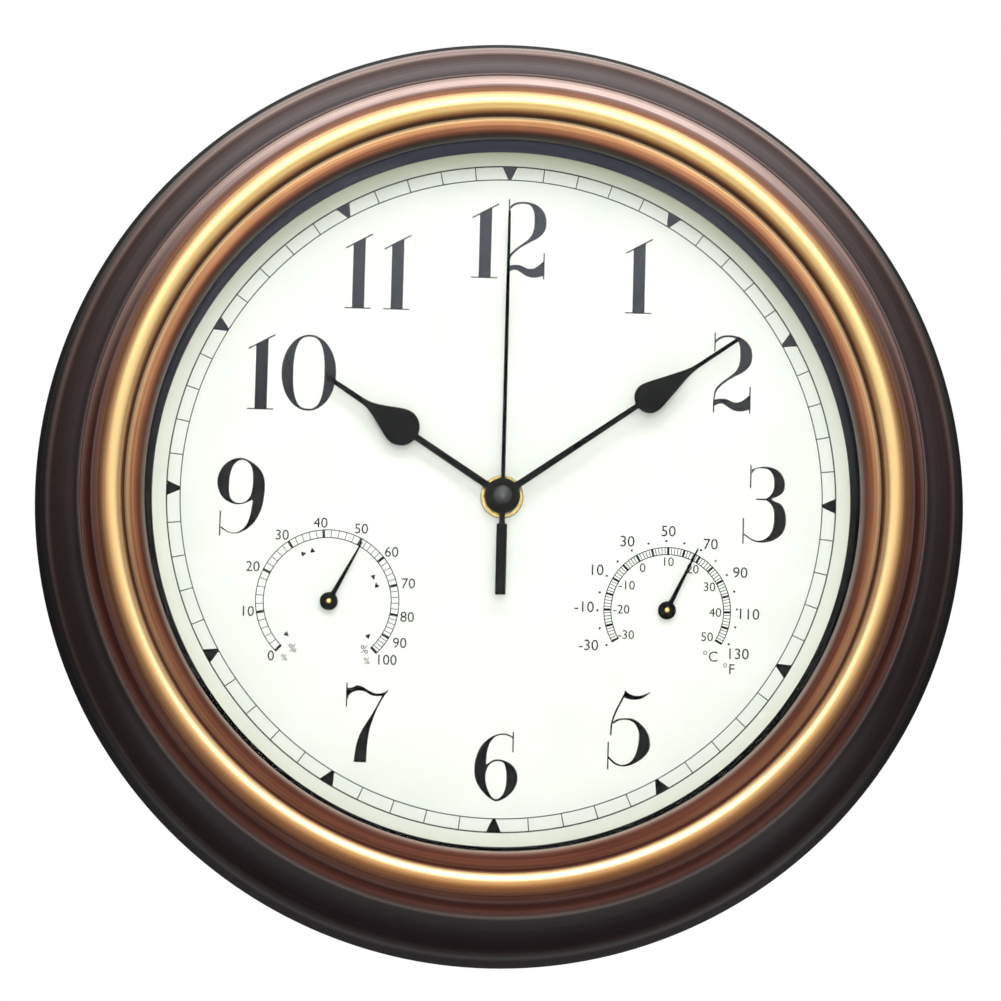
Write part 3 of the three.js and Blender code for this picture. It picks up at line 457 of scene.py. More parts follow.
@dataclass(frozen=True)
class MouldingFinish(Finish):
    """Painted moulding whose colour changes from ring to ring along its outline.

    Each stop holds a place along the outline, the colour at the top of the clock, the colour at
    its foot, a metallic share, a roughness, the strength of the brush marks and how fast the
    first colour gives way to the second further down. The top and foot colours hold painted
    highlights and painted shade, as light from above would fall on each ring. The wander is how
    far the brush marks move a stop.
    """

    stops: tuple[tuple[float, Colour, Colour, float, float, float, float], ...] = ()
    # Height range, in millimetres, over which the painted light at the top gives way to the painted
    # light and shade at the foot, and the largest rate of that change, as the ramp's alpha holds each
    # rate as a share of it.
    fastest: float = 14.0
    foot: float = -170.0
    head: float = 165.0
    worn: Four = (0.34, 0.26, 0.24, 1.0)
    fine_marks: Point = (0.36, 1.4)
    broad_marks: Point = (1.1, 1.0)
    wander: float = 0.0012
    mark_window: Point = (0.36, 0.64)
    drift_share: float = 0.25
    shine_span: Point = (0.85, 1.2)

    def wire(self, graph: Graph) -> None:
        """Links ramps along the outline to colour, metal, roughness and relief.

        Args:
            graph: The material's nodes.
        """
        Finish.wire(self, graph)
        along = graph.axes(graph.add("ShaderNodeTexCoord").outputs["UV"])[1]
        fine, broad = (
            TURNING.place(graph, pitch=pitch, streaks_per_turn=streaks)["Marks"]
            for pitch, streaks in (self.fine_marks, self.broad_marks)
        )
        place = graph.math("ADD", along, graph.between(broad, -self.wander, self.wander))
        # Painted light and shade: one ramp holds the colours with their painted highlights at the top
        # of the clock, the other those at its foot, and the height window mixes them.
        upper = graph.ramp(place, [(at, linear(top)) for at, top, *_ in self.stops])[0]
        lower = graph.ramp(place, [(at, linear(foot)) for at, _, foot, *_ in self.stops])[0]
        nature, speed = graph.ramp(place, [
            (at, (*rest, fall / self.fastest)) for at, _, _, *rest, fall in self.stops
        ])
        metal, rough, strength = graph.add("ShaderNodeSeparateColor", {0: nature}).outputs
        fall = graph.product(speed, self.fastest)
        share = graph.math("POWER", graph.window(graph.height(), self.foot, self.head), fall)
        tone = graph.mix(share, lower, upper)
        both = graph.product(graph.math("ADD", broad, fine), 0.5)
        marks = graph.window(both, *self.mark_window)
        dulled = graph.math("MULTIPLY_ADD", self.grain(graph)["Drift"], self.drift_share, marks)
        graph.fill(graph.shader, {
            "Base Color": graph.mix(graph.product(dulled, strength), tone, self.worn, "MULTIPLY"),
            "Metallic": metal,
            "Roughness": graph.product(rough, graph.between(fine, *self.shine_span)),
            "Normal": graph.bump(fine, self.bump),
        })


@dataclass(frozen=True)
class PaintedSheenFinish(Finish):
    """Black paint or ink with a painted sheen that makes it lighter towards the top of the clock."""

    sheen_colour: Colour = (74, 74, 88)
    low: float = -20.0
    high: float = 112.0
    rise: float = 1.0

    def tone(self, graph: Graph, grain: Mapping) -> Socket:
        """Mixes the paint's colour, graded by height.

        Args:
            graph: The material's nodes.
            grain: The outputs of its grain.

        Returns:
            The colour.
        """
        # Painted sheen: the colour turns to the sheen colour with height.
        share = graph.math("POWER", graph.window(graph.height(), self.low, self.high), self.rise)
        return graph.mix(share, Finish.tone(self, graph, grain), linear(self.sheen_colour))


@dataclass(frozen=True)
class PaperFinish(Finish):
    """Printed paper on the dial, with a painted shade that makes it a little warmer towards its
    edge and a painted shadow of the frame at its top.
    """

    rim_shade_colour: Colour = (250, 251, 238)
    shade_colour: Colour = (208, 210, 186)
    edge_from: float = 104.5
    edge_to: float = 113.5
    shade_from: float = 20.0
    shade_to: float = 112.0

    def tone(self, graph: Graph, grain: Mapping) -> Socket:
        """Mixes the paper's colour with its rim shade.

        Args:
            graph: The material's nodes.
            grain: The outputs of its grain.

        Returns:
            The colour.
        """
        radius = TURNING.place(graph, pitch=1.0, streaks_per_turn=1.0)["Radius"]
        # Painted shade towards the dial's rim, and a painted shadow of the frame at its top.
        share = graph.window(radius, self.edge_from, self.edge_to)
        above = graph.window(graph.height(), self.shade_from, self.shade_to)
        edge = graph.mix(above, linear(self.rim_shade_colour), linear(self.shade_colour))
        return graph.mix(share, Finish.tone(self, graph, grain), edge)


@dataclass(frozen=True)
class FloorFinish(Finish):
    """Pale floor that fades out towards its edge."""

    fade_from: float = 0.7
    fade_to: float = 1.5

    def wire(self, graph: Graph) -> None:
        """Lowers the floor's alpha with the distance from its middle.

        Args:
            graph: The material's nodes.
        """
        Finish.wire(self, graph)
        x, y, _ = graph.axes(graph.place())
        faded = graph.window(graph.length(x, y), self.fade_from, self.fade_to)
        graph.fill(graph.shader, {"Alpha": graph.between(faded, 1.0, 0.0)})


@dataclass(frozen=True)
class GlassFinish(Finish):
    """Clear flat glass that lets lamp light through to the dial."""

    tint: Four = (0.06, 0.06, 0.06, 1.0)
    clear: Four = (0.97, 0.98, 0.975, 1.0)
    refraction: float = 1.45

    def wire(self, graph: Graph) -> None:
        """Makes the shader glass, and clear for shadow rays and soft light.

        Args:
            graph: The material's nodes.
        """
        Finish.wire(self, graph)
        graph.fill(graph.shader, {
            "Transmission Weight": 1.0, "Specular Tint": self.tint, "IOR": self.refraction,
        })
        ray = graph.add("ShaderNodeLightPath").outputs
        through = graph.math("MAXIMUM", ray["Is Shadow Ray"], ray["Is Diffuse Ray"])
        clear = graph.add("ShaderNodeBsdfTransparent", {0: self.clear}).outputs[0]
        mixed = graph.add("ShaderNodeMixShader", {
            0: through, 1: graph.shader.outputs[0], 2: clear,
        })
        graph.fill(graph.tree.nodes["Material Output"], {"Surface": mixed.outputs[0]})


@dataclass(frozen=True)
class WrapFinish(Finish):
    """Printed cell wrap with a plain lighter band and bare metal ends."""

    band_colour: Colour = (196, 150, 60)
    metal_colour: Colour = (190, 190, 188)
    band_from: float = 10.0
    wrap_from: float = -24.4
    wrap_to: float = 23.2
    blur: float = 0.08
    faded: float = 0.12
    wrap_metal: float = 0.3

    def wire(self, graph: Graph) -> None:
        """Masks the band and the ends along x.

        Args:
            graph: The material's nodes.
        """
        Finish.wire(self, graph)
        along = graph.product(graph.axes(graph.place())[0], PER_METRE)
        band, start, end = (
            graph.window(along, edge - self.blur, edge + self.blur)
            for edge in (self.band_from, self.wrap_from, self.wrap_to)
        )
        wrapped = graph.math("SUBTRACT", start, end)
        print_tone = graph.mix(band, linear(self.colour), linear(self.band_colour))
        fading = graph.between(self.grain(graph)["Drift"], 0.0, self.faded)
        faded = graph.mix(fading, print_tone, (1, 1, 1, 1))
        graph.fill(graph.shader, {
            "Base Color": graph.mix(wrapped, linear(self.metal_colour), faded),
            "Metallic": graph.between(wrapped, 1.0, self.wrap_metal),
        })


PLASTIC = Finish("moulded_black", (30, 30, 33), (38, 38, 42), 0.5, grain_size=0.35, bump=0.03,
                 speck_colour=(52, 52, 56))
COVER_PLASTIC = Finish("grained_black", (34, 34, 37), (44, 44, 48), 0.62, grain_size=0.55,
                       bump=0.12, speck_colour=(60, 60, 64))
WHITE_PLASTIC = Finish("moulded_white", (222, 220, 208), (206, 203, 190), 0.5, grain_size=0.4,
                       bump=0.02)
MARK_PAINT = Finish("raised_marks", (120, 120, 122), (98, 98, 101), 0.6, grain_size=0.3, bump=0.02)
RUBBER = Finish("seal_rubber", (22, 22, 23), (33, 32, 31), 0.8, specular=0.3, grain_size=0.3,
                bump=0.05, speck_colour=(60, 58, 54))
# The inner wall carries a painted sheen, lighter and bluer towards the top of the clock.
WALL_PAINT_AND_SHEEN = PaintedSheenFinish("inner_wall_black", (6, 6, 7), (10, 10, 11), 0.8, specular=0.0,
                          grain_size=1.2, bump=0.0)
HAND_PAINT = Finish("hand_black", (3, 3, 4), (6, 6, 7), 0.5, specular=0.01,
                    grain_size=0.25, bump=0.008, speck_colour=(20, 19, 22))
CAP_PAINT = Finish("cap_black", (12, 12, 15), (18, 17, 21), 0.36, specular=0.4, grain_size=0.25,
                   bump=0.006, speck_colour=(30, 28, 34))
# The ink carries a painted sheen, lighter towards the top of the clock.
INK_AND_SHEEN = PaintedSheenFinish("dial_ink", (4, 5, 5), (8, 9, 9), 0.7, specular=0.01, grain_size=0.22,
                   drift_size=5.0, bump=0.004, sheen_colour=(78, 80, 88), low=-75.0, high=90.0,
                   rise=3.0)
TRACK_INK = Finish("track_ink", (44, 56, 48), (66, 80, 70), 0.7, specular=0.05,
                   grain_size=0.22, drift_size=6.0, bump=0.004)
SCALE_INK = Finish("scale_ink", (22, 26, 27), (42, 46, 46), 0.7, specular=0.05, grain_size=0.2,
                   drift_size=4.0, bump=0.004)
PAPER = PaperFinish("dial_paper", (252, 252, 249), (249, 250, 246), 0.72, specular=0.15,
                    grain_size=0.35, drift_size=30.0, bump=0.006)
GLASS = GlassFinish("window_glass", (252, 255, 253), (248, 253, 250), 0.012, specular=0.03,
                    grain_size=2.0, bump=0.0004)
BRASS = TurnedFinish("turned_brass", (136, 118, 76), (102, 86, 52), 0.3, metallic=0.95,
                     bump=0.01)
STEEL = Finish("zinc_steel", (186, 188, 190), (164, 167, 170), 0.34, metallic=0.95,
               grain_size=0.7, drift_size=9.0, bump=0.01, speck_colour=(120, 116, 108))
BIMETAL = TurnedFinish("rolled_strip", (178, 156, 112), (140, 118, 82), 0.36, metallic=0.9,
                       bump=0.006)
COPPER = Finish("enamelled_wire", (186, 92, 44), (140, 62, 30), 0.34, metallic=0.85,
                grain_size=0.16, drift_size=3.0, bump=0.05)
BOARD = Finish("board_green", (34, 92, 56), (46, 112, 70), 0.45, grain_size=0.5, drift_size=4.0,
               bump=0.02, speck_colour=(150, 150, 110))
WRAP = WrapFinish("cell_wrap", (38, 60, 96), (50, 74, 112), 0.32, metallic=0.3, grain_size=0.4,
                  bump=0.006)


# Meshes


def extent(node: str) -> tuple[float, float, float]:
    """Returns a CAD node's reach to the right, its rear depth and its front depth."""
    low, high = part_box(node)
    return high.x / MM, -high.y / MM, -low.y / MM


def in_scene(name: str, data: ID) -> Object:
    """Makes an object and links it to the scene.

    Args:
        name: Its name.
        data: Its mesh, curve, camera or lamp.

    Returns:
        The object.
    """
    made = bpy.data.objects.new(name, data)
    bpy.context.scene.collection.objects.link(made)
    return made


def evaluated(holder: Object) -> Mesh:
    """Turns what an object shows, with its modifiers, into a plain mesh.

    Args:
        holder: The object.

    Returns:
        The new mesh.
    """
    bpy.context.view_layer.update()
    shown = holder.evaluated_get(bpy.context.evaluated_depsgraph_get())
    return bpy.data.meshes.new_from_object(shown)


def closed(mesh: Mesh, degrees: float = 30.0) -> Mesh:
    """Merges doubled points, turns faces outwards and shades it.

    Args:
        mesh: The mesh, whose walls all meet.
        degrees: Edges that bend less than this look smooth.

    Returns:
        The same mesh.
    """
    work = bmesh.new()
    work.from_mesh(mesh)
    bmesh.ops.remove_doubles(work, verts=work.verts, dist=MERGE)
    bmesh.ops.recalc_face_normals(work, faces=work.faces)
    work.to_mesh(mesh)
    work.free()
    mesh.shade_smooth()
    mesh.set_sharp_from_angle(angle=math.radians(degrees))
    return mesh


def joined(meshes: Iterable[Mesh]) -> Mesh:
    """Puts several closed meshes in one.

    Args:
        meshes: The meshes, which are used up.

    Returns:
        The new mesh.
    """
    whole = bmesh.new()
    for mesh in list(meshes):
        whole.from_mesh(mesh)
        bpy.data.meshes.remove(mesh)
    made = bpy.data.meshes.new("joined")
    whole.to_mesh(made)
    whole.free()
    return made


def turned_about(mesh: Mesh, degrees: float,
                 centre: Point = (0.0, 0.0)) -> Mesh:
    """Turns a mesh clockwise and moves it from the origin.

    Args:
        mesh: The mesh.
        degrees: Its turn.
        centre: Where its origin goes.

    Returns:
        The same mesh.
    """
    place = Matrix.Translation((centre[0] * MM, 0.0, centre[1] * MM))
    mesh.transform(place @ Matrix.Rotation(math.radians(degrees), 4, "Y"))
    return mesh


def bend(start: Vector, control: Vector, end: Vector, share: float) -> Point:
    """Returns the point at a share of a curve that leans towards its control point."""
    return tuple(start.lerp(control, share).lerp(control.lerp(end, share), share))


def eased(corners: Sequence[tuple[float, float, float]], steps: int = 4) -> list[Point]:
    """Rounds the corners of a closed outline.

    Args:
        corners: Each corner's two coordinates and how far its round runs along each side.
        steps: Steps in each round.

    Returns:
        The points of the rounded outline.
    """
    points: list[Point] = []
    for index, (x, y, reach) in enumerate(corners):
        here = Vector((x, y))
        if reach <= 0:
            points.append((x, y))
            continue
        before = Vector(corners[index - 1][:2]) - here
        after = Vector(corners[(index + 1) % len(corners)][:2]) - here
        start = here + before.normalized() * min(reach, before.length * NEAR_HALF)
        end = here + after.normalized() * min(reach, after.length * NEAR_HALF)
        points += [bend(start, here, end, step / steps) for step in range(steps + 1)]
    return points


def distances(outline: Sequence[Point]) -> list[float]:
    """Measures along a closed outline.

    Args:
        outline: Its points.

    Returns:
        The share of the whole way at which each point lies, then 1 for the way back.
    """
    lengths = [0.0]
    for index, point in enumerate(outline):
        lengths.append(lengths[-1] + math.dist(point, outline[(index + 1) % len(outline)]))
    return [length / lengths[-1] for length in lengths]


def lathe(profile: Sequence[Point], sides: int = 96, centre: Point = (0.0, 0.0),
          degrees: float = 30.0) -> Mesh:
    """Turns a closed outline round an axis along y.

    Args:
        profile: Points of (radius, depth). Points on the axis become poles.
        sides: Steps in the whole turn.
        centre: Where the axis stands.
        degrees: Edges that bend less than this look smooth.

    Returns:
        The mesh, with a UV map that runs round in x and along the outline in y.
    """
    work = bmesh.new()
    layer = work.loops.layers.uv.new("along")
    shares = distances(profile)
    rows = []
    for radius, depth in profile:
        row = []
        for step in range(sides if radius > 0 else 1):
            x, z = on_circle(radius, WHOLE_TURN * step / sides, centre)
            row.append(work.verts.new((x * MM, -depth * MM, z * MM)))
        rows.append(row if radius > 0 else row * sides)
    for index, row in enumerate(rows):
        after = rows[(index + 1) % len(rows)]
        if row[0] is row[1] and after[0] is after[1]:
            continue
        for step in range(sides):
            following = (step + 1) % sides
            corners = {}
            for vert, turn, along in (
                (row[step], step, index), (row[following], step + 1, index),
                (after[following], step + 1, index + 1), (after[step], step, index + 1),
            ):
                corners.setdefault(vert, (turn / sides, shares[along]))
            face = work.faces.new(list(corners))
            for loop, place in zip(face.loops, corners.values()):
                loop[layer].uv = place
    made = bpy.data.meshes.new("lathe")
    work.to_mesh(made)
    work.free()
    return closed(made, degrees)


def collar(inner: float, outer: float, rear: float, front: float,
           edges: Sequence[float] = (0.0, 0.0, 0.0, 0.0)) -> list[Point]:
    """Draws the outline of a flat ring.

    Args:
        inner: Its inner radius.
        outer: Its outer radius.
        rear: Depth of its rear face.
        front: Depth of its front face.
        edges: The rounds of its four edges, from the inner one at the rear by way of the outer.

    Returns:
        The outline's points.
    """
    corners = ((inner, rear), (outer, rear), (outer, front), (inner, front))
    return eased([(*corner, edge) for corner, edge in zip(corners, edges)])


def mirrored(edge: Sequence[Point], *tip: Point) -> tuple[Point, ...]:
    """Returns a right-hand edge, its tip, and the left-hand edge back."""
    return (*edge, *tip, *((-x, z) for x, z in reversed(edge)))


@dataclass(frozen=True)
class Outline:
    """A closed flat outline: smooth through its points but for the corners."""

    points: tuple[Point, ...]
    corners: tuple[int, ...] = ()

    def moved(self, scale: float, x: float, z: float) -> "Outline":
        """Returns the outline scaled and then moved."""
        points = tuple((x + scale * px, z + scale * pz) for px, pz in self.points)
        return Outline(points, self.corners)


def polygon(*points: Point) -> Outline:
    """Returns an outline with straight sides."""
    return Outline(tuple(points), tuple(range(len(points))))


def stroke(start: Point, end: Point, width: float) -> Outline:
    """Draws a straight line.

    Args:
        start: Its first end.
        end: Its other end.
        width: Its width.

    Returns:
        The line's outline.
    """
    a, b = Vector(start), Vector(end)
    along = (b - a).normalized()
    side = Vector((-along.y, along.x)) * width / 2
    return polygon(tuple(a + side), tuple(a - side), tuple(b - side), tuple(b + side))


def oval(width: float, height: float, power: float = 2.0, points: int = 16) -> Outline:
    """Draws an oval round the origin.

    Args:
        width: Its width.
        height: Its height.
        power: Above 2, its sides are straighter than an ellipse's.
        points: How many points it takes.

    Returns:
        Its outline.
    """
    spots = []
    for step in range(points):
        angle = math.tau * step / points
        across, up = math.cos(angle), math.sin(angle)
        spots.append((
            math.copysign(abs(across) ** (2 / power), across) * width / 2,
            math.copysign(abs(up) ** (2 / power), up) * height / 2,
        ))
    return Outline(tuple(spots))


def disc(radius: float, centre: Point = (0.0, 0.0), points: int = 16) -> Outline:
    """Returns the outline of a round hole or plate."""
    return oval(2 * radius, 2 * radius, points=points).moved(1.0, *centre)


def curve_mesh(curve: Curve, depth: float) -> Mesh:
    """Turns a flat curve into a mesh that faces the front.

    Args:
        curve: The curve, drawn in millimetres. It is used up.
        depth: The depth of its middle.

    Returns:
        The closed mesh.
    """
    holder = in_scene("drawn", curve)
    mesh = evaluated(holder)
    bpy.data.objects.remove(holder)
    bpy.data.curves.remove(curve)
    upright = Matrix.Rotation(math.pi / 2, 4, "X")
    mesh.transform(Matrix.Translation((0.0, -depth * MM, 0.0)) @ Matrix.Scale(MM, 4) @ upright)
    mesh.materials.clear()
    return closed(mesh)


def pressed(outlines: Sequence[Outline], rear: float, front: float,
            bevel: float = 0.0) -> Mesh:
    """Fills an outline and gives it thickness.

    Args:
        outlines: The outer edge first, then any holes.
        rear: Depth of the rear face.
        front: Depth of the front face.
        bevel: Width of the round along each edge.

    Returns:
        The closed mesh.
    """
    curve = bpy.data.curves.new("pressed", "CURVE")
    curve.dimensions = "2D"
    curve.fill_mode = "BOTH"
    curve.resolution_u = 8
    curve.extrude = (front - rear) / 2 - bevel
    curve.bevel_depth = bevel
    curve.bevel_resolution = 1
    curve.offset = -bevel
    for outline in outlines:
        spline = curve.splines.new("BEZIER")
        spline.use_cyclic_u = True
        spline.bezier_points.add(len(outline.points) - 1)
        for index, (x, z) in enumerate(outline.points):
            point = spline.bezier_points[index]
            point.co = (x, z, 0.0)
            kind = "VECTOR" if index in outline.corners else "AUTO"
            point.handle_left_type = kind
            point.handle_right_type = kind
    return curve_mesh(curve, (rear + front) / 2)


def lettered(text: str, height: float, centre: Point, rear: float,
             front: float) -> Mesh:
    """Sets a number or a unit mark in plain sans letters.

    Args:
        text: What it says.
        height: Height of its tallest letter.
        centre: Its middle.
        rear: Depth of the rear face.
        front: Depth of the front face.

    Returns:
        The closed mesh.
    """
    curve = bpy.data.curves.new("lettered", "FONT")
    curve.body = text
    curve.size = height / CAPITAL_SHARE
    curve.extrude = (front - rear) / 2
    curve.resolution_u = 4
    mesh = curve_mesh(curve, (rear + front) / 2)
    low = Vector([min(v.co[axis] for v in mesh.vertices) for axis in range(3)])
    high = Vector([max(v.co[axis] for v in mesh.vertices) for axis in range(3)])
    middle = (low + high) / 2
    scale = height * MM / (high.z - low.z)
    for vert in mesh.vertices:
        vert.co.x = centre[0] * MM + (vert.co.x - middle.x) * scale
        vert.co.z = centre[1] * MM + (vert.co.z - middle.z) * scale
    return mesh


def arc_band(radius: float, width: float, start: float, end: float, rear: float, front: float,
             centre: Point = (0.0, 0.0)) -> Mesh:
    """Draws a flat line along part of a circle.

    Args:
        radius: The circle's radius.
        width: The line's width.
        start: Angle of its first end.
        end: Angle of its other end.
        rear: Depth of the rear face.
        front: Depth of the front face.
        centre: The circle's centre.

    Returns:
        The closed mesh.
    """
    steps = max(8, int(abs(end - start) / 2))
    spots = [start + (end - start) * step / steps for step in range(steps + 1)]
    outer = [on_circle(radius + width / 2, spot, centre) for spot in spots]
    inner = [on_circle(radius - width / 2, spot, centre) for spot in reversed(spots)]
    return pressed([polygon(*outer, *inner)], rear, front)


def circle_band(radius: float, width: float, rear: float, front: float) -> Mesh:
    """Returns a flat line that follows a whole circle round the clock's axis."""
    return lathe(collar(radius - width / 2, radius + width / 2, rear, front), FINE_SIDES)


def refined(node: str, bevel: float = 0.0) -> Mesh:
    """Returns a copy of a CAD node with merged flat faces, smooth rounds and softened edges.

    Args:
        node: The CAD node's name.
        bevel: Width of the round on its edges.

    Returns:
        The copy.
    """
    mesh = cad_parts[node].data.copy()
    sharp_above = math.radians(CAD_SHARP)
    work = bmesh.new()
    work.from_mesh(mesh)
    bmesh.ops.remove_doubles(work, verts=work.verts, dist=CAD_MERGE)
    flat = math.radians(FLAT_WITHIN)
    bmesh.ops.dissolve_limit(work, angle_limit=flat, verts=work.verts, edges=work.edges)
    if bevel:
        sharp = [
            edge for edge in work.edges
            if len(edge.link_faces) == 2 and edge.calc_face_angle() > sharp_above
        ]
        bmesh.ops.bevel(
            work, geom=sharp, offset=bevel * MM, segments=2, profile=0.5, affect="EDGES",
            clamp_overlap=True,
        )
    work.to_mesh(mesh)
    work.free()
    mesh.materials.clear()
    mesh.shade_smooth()
    mesh.set_sharp_from_angle(angle=sharp_above)
    for face in mesh.polygons:
        face.use_smooth = len(face.vertices) < 5 and face.area < LARGE_FLAT
    return mesh


# Geometry Nodes


def geometry_tree(name: str,
                  sockets: Mapping[str, type]) -> tuple[NodeTree, Graph, Mapping]:
    """Starts a Geometry Nodes tree with named inputs.

    Args:
        name: The tree's name.
        sockets: Each input's name and kind.

    Returns:
        The tree, its graph and the outputs of its Group Input node.
    """
    tree = bpy.data.node_groups.new(name, "GeometryNodeTree")
    for socket, kind in sockets.items():
        tree.interface.new_socket(name=socket, in_out="INPUT", socket_type=SOCKETS[kind])
    tree.interface.new_socket(name="Geometry", in_out="OUTPUT", socket_type="NodeSocketGeometry")
    graph = Graph(tree)
    return tree, graph, graph.add("NodeGroupInput").outputs


def grown(tree: NodeTree, values: Mapping[str, object]) -> Mesh:
    """Runs a Geometry Nodes tree once.

    Args:
        tree: The tree, which is used up.
        values: A value for each of its inputs, by name.

    Returns:
        The result as a plain mesh.
    """
    holder = in_scene(tree.name, bpy.data.meshes.new(tree.name))
    modifier = holder.modifiers.new("grow", "NODES")
    modifier.node_group = tree
    keys = {
        item.name: item.identifier for item in tree.interface.items_tree
        if item.in_out == "INPUT"
    }
    for name, value in values.items():
        modifier[keys[name]] = value
    mesh = evaluated(holder)
    holder.modifiers.remove(modifier)
    bpy.data.objects.remove(holder)
    bpy.data.node_groups.remove(tree)
    mesh.materials.clear()
    return closed(mesh)


class Mark(Enum):
    """Shapes that a ring of marks can be made of."""

    BAR = False
    DOT = True


@dataclass(frozen=True)
class MarkRing:
    """Bars, wedges or dots laid along a circle by a Geometry Nodes tree.

    The law gives the angle share for each reading share, so a scale's steps may widen or narrow.
    """

    count: int
    radius: float
    start: float
    sweep: float
    outer_breadth: float
    inner_breadth: float
    length: float
    rear: float
    front: float
    centre: Point = (0.0, 0.0)
    skip: int = 0
    mark: Mark = Mark.BAR
    law: tuple[Point, ...] = ((0.0, 0.0), (1.0, 1.0))

    def tree(self) -> NodeTree:
        """Builds the tree that lays the marks.

        Returns:
            The tree.
        """
        tree, graph, given = geometry_tree("ring_of_marks", {
            "Count": int, "Radius": float, "Start": float, "Sweep": float,
            "Outer breadth": float, "Inner breadth": float, "Length": float,
            "Thickness": float, "Depth": float, "Centre x": float, "Centre z": float,
            "Skip": int, "Round": bool, "Ink": Material,
        })
        index = graph.add("GeometryNodeInputIndex").outputs[0]
        last = graph.math("MAXIMUM", graph.math("SUBTRACT", given["Count"], 1.0), 1.0)
        curve = graph.add("ShaderNodeFloatCurve", {"Value": graph.math("DIVIDE", index, last)})
        self.shape_law(curve)
        degrees = graph.math("MULTIPLY_ADD", curve.outputs[0], given["Sweep"], given["Start"])
        angle = graph.math("RADIANS", degrees)
        points = graph.add("GeometryNodePoints", {"Count": given["Count"]})
        sine, cosine = graph.math("SINE", angle), graph.math("COSINE", angle)
        placed = graph.moved(points.outputs[0], graph.vector({
            0: graph.math("MULTIPLY_ADD", sine, given["Radius"], given["Centre x"]),
            1: graph.product(given["Depth"], -1.0),
            2: graph.math("MULTIPLY_ADD", cosine, given["Radius"], given["Centre z"]),
        }))
        step = graph.math("MODULO", index, graph.math("MAXIMUM", given["Skip"], 1.0))
        left_out = graph.product(
            graph.math("LESS_THAN", step, 0.5), graph.math("GREATER_THAN", given["Skip"], 0.5)
        )
        kept = graph.add("GeometryNodeDeleteGeometry", {"Geometry": placed, "Selection": left_out})
        x, _, z = graph.axes(graph.add("GeometryNodeInputPosition").outputs[0])
        turn = graph.math(
            "ARCTAN2", graph.math("SUBTRACT", x, given["Centre x"]),
            graph.math("SUBTRACT", z, given["Centre z"]),
        )
        graph.end_with_copies(kept.outputs[0], self.mark_shape(graph, given), turn, given["Ink"])
        return tree

    def shape_law(self, curve: Node) -> None:
        """Puts the law's points on the tree's curve.

        Args:
            curve: The Float Curve node.
        """
        line = curve.mapping.curves[0]
        line.points[0].location = self.law[0]
        line.points[1].location = self.law[-1]
        for share, turn in self.law[1:-1]:
            line.points.new(share, turn)
        for point in line.points:
            point.handle_type = "VECTOR"
        curve.mapping.update()

    @staticmethod
    def mark_shape(graph: Graph, given: Mapping) -> Socket:
        """Makes one mark, its length along z: a tapered bar or a round dot.

        Args:
            graph: The tree's nodes.
            given: The tree's inputs.

        Returns:
            The mark's geometry.
        """
        bar = graph.add("GeometryNodeMeshCube")
        dot = graph.add("GeometryNodeMeshCylinder", {"Vertices": 16, "Radius": 0.5, "Depth": 1.0})
        upright = graph.add("GeometryNodeTransform", {
            "Geometry": dot.outputs[0], "Rotation": (math.pi / 2, 0.0, 0.0),
        })
        shape = graph.add("GeometryNodeSwitch", {
            "Switch": given["Round"], "False": bar.outputs[0], "True": upright.outputs[0],
        })
        x, y, z = graph.axes(graph.add("GeometryNodeInputPosition").outputs[0])
        widening = graph.math("SUBTRACT", given["Outer breadth"], given["Inner breadth"])
        outward = graph.math("ADD", z, 0.5)
        breadth = graph.math("MULTIPLY_ADD", outward, widening, given["Inner breadth"])
        return graph.moved(shape.outputs[0], graph.vector({
            0: graph.product(x, breadth), 1: graph.product(y, given["Thickness"]),
            2: graph.product(z, given["Length"]),
        }))

    def mesh(self, finish: Finish) -> Mesh:
        """Lays the marks.

        Args:
            finish: Their ink.

        Returns:
            The marks as one mesh.
        """
        return grown(self.tree(), {
            "Count": self.count, "Radius": self.radius * MM, "Start": self.start,
            "Sweep": self.sweep, "Outer breadth": self.outer_breadth * MM,
            "Inner breadth": self.inner_breadth * MM, "Length": self.length * MM,
            "Thickness": (self.front - self.rear) * MM,
            "Depth": (self.rear + self.front) / 2 * MM, "Centre x": self.centre[0] * MM,
            "Centre z": self.centre[1] * MM, "Skip": self.skip, "Round": self.mark.value,
            "Ink": finish.material(),
        })


def copies_on_circle(mesh: Mesh, finish: Finish, count: int = 6,
                     radius: float = 124.5, start: float = 30.0) -> Mesh:
    """Repeats a piece on the circle of the cover's screws, with Geometry Nodes.

    Args:
        mesh: The piece, made on the clock's axis.
        finish: The copies' finish.
        count: How many copies the circle takes.
        radius: The circle's radius.
        start: Angle of the first copy.

    Returns:
        The copies as one mesh.
    """
    pattern = in_scene("pattern", mesh)
    tree, graph, given = geometry_tree("copies_on_circle", {
        "Count": int, "Radius": float, "Start": float, "Pattern": Object,
        "Finish": Material,
    })
    index = graph.add("GeometryNodeInputIndex").outputs[0]
    share = graph.math("DIVIDE", index, given["Count"])
    angle = graph.math(
        "RADIANS", graph.math("MULTIPLY_ADD", share, WHOLE_TURN, given["Start"])
    )
    points = graph.add("GeometryNodePoints", {"Count": given["Count"]})
    placed = graph.moved(points.outputs[0], graph.vector({
        0: graph.product(graph.math("SINE", angle), given["Radius"]),
        2: graph.product(graph.math("COSINE", angle), given["Radius"]),
    }))
    source = graph.add("GeometryNodeObjectInfo", {"Object": given["Pattern"]})
    turn = graph.product(angle, COPY_TURN)
    graph.end_with_copies(placed, source.outputs["Geometry"], turn, given["Finish"])
    made = grown(tree, {
        "Count": count, "Radius": radius * MM, "Start": start, "Pattern": pattern,
        "Finish": finish.material(),
    })
    bpy.data.objects.remove(pattern)
    return made


# Pieces


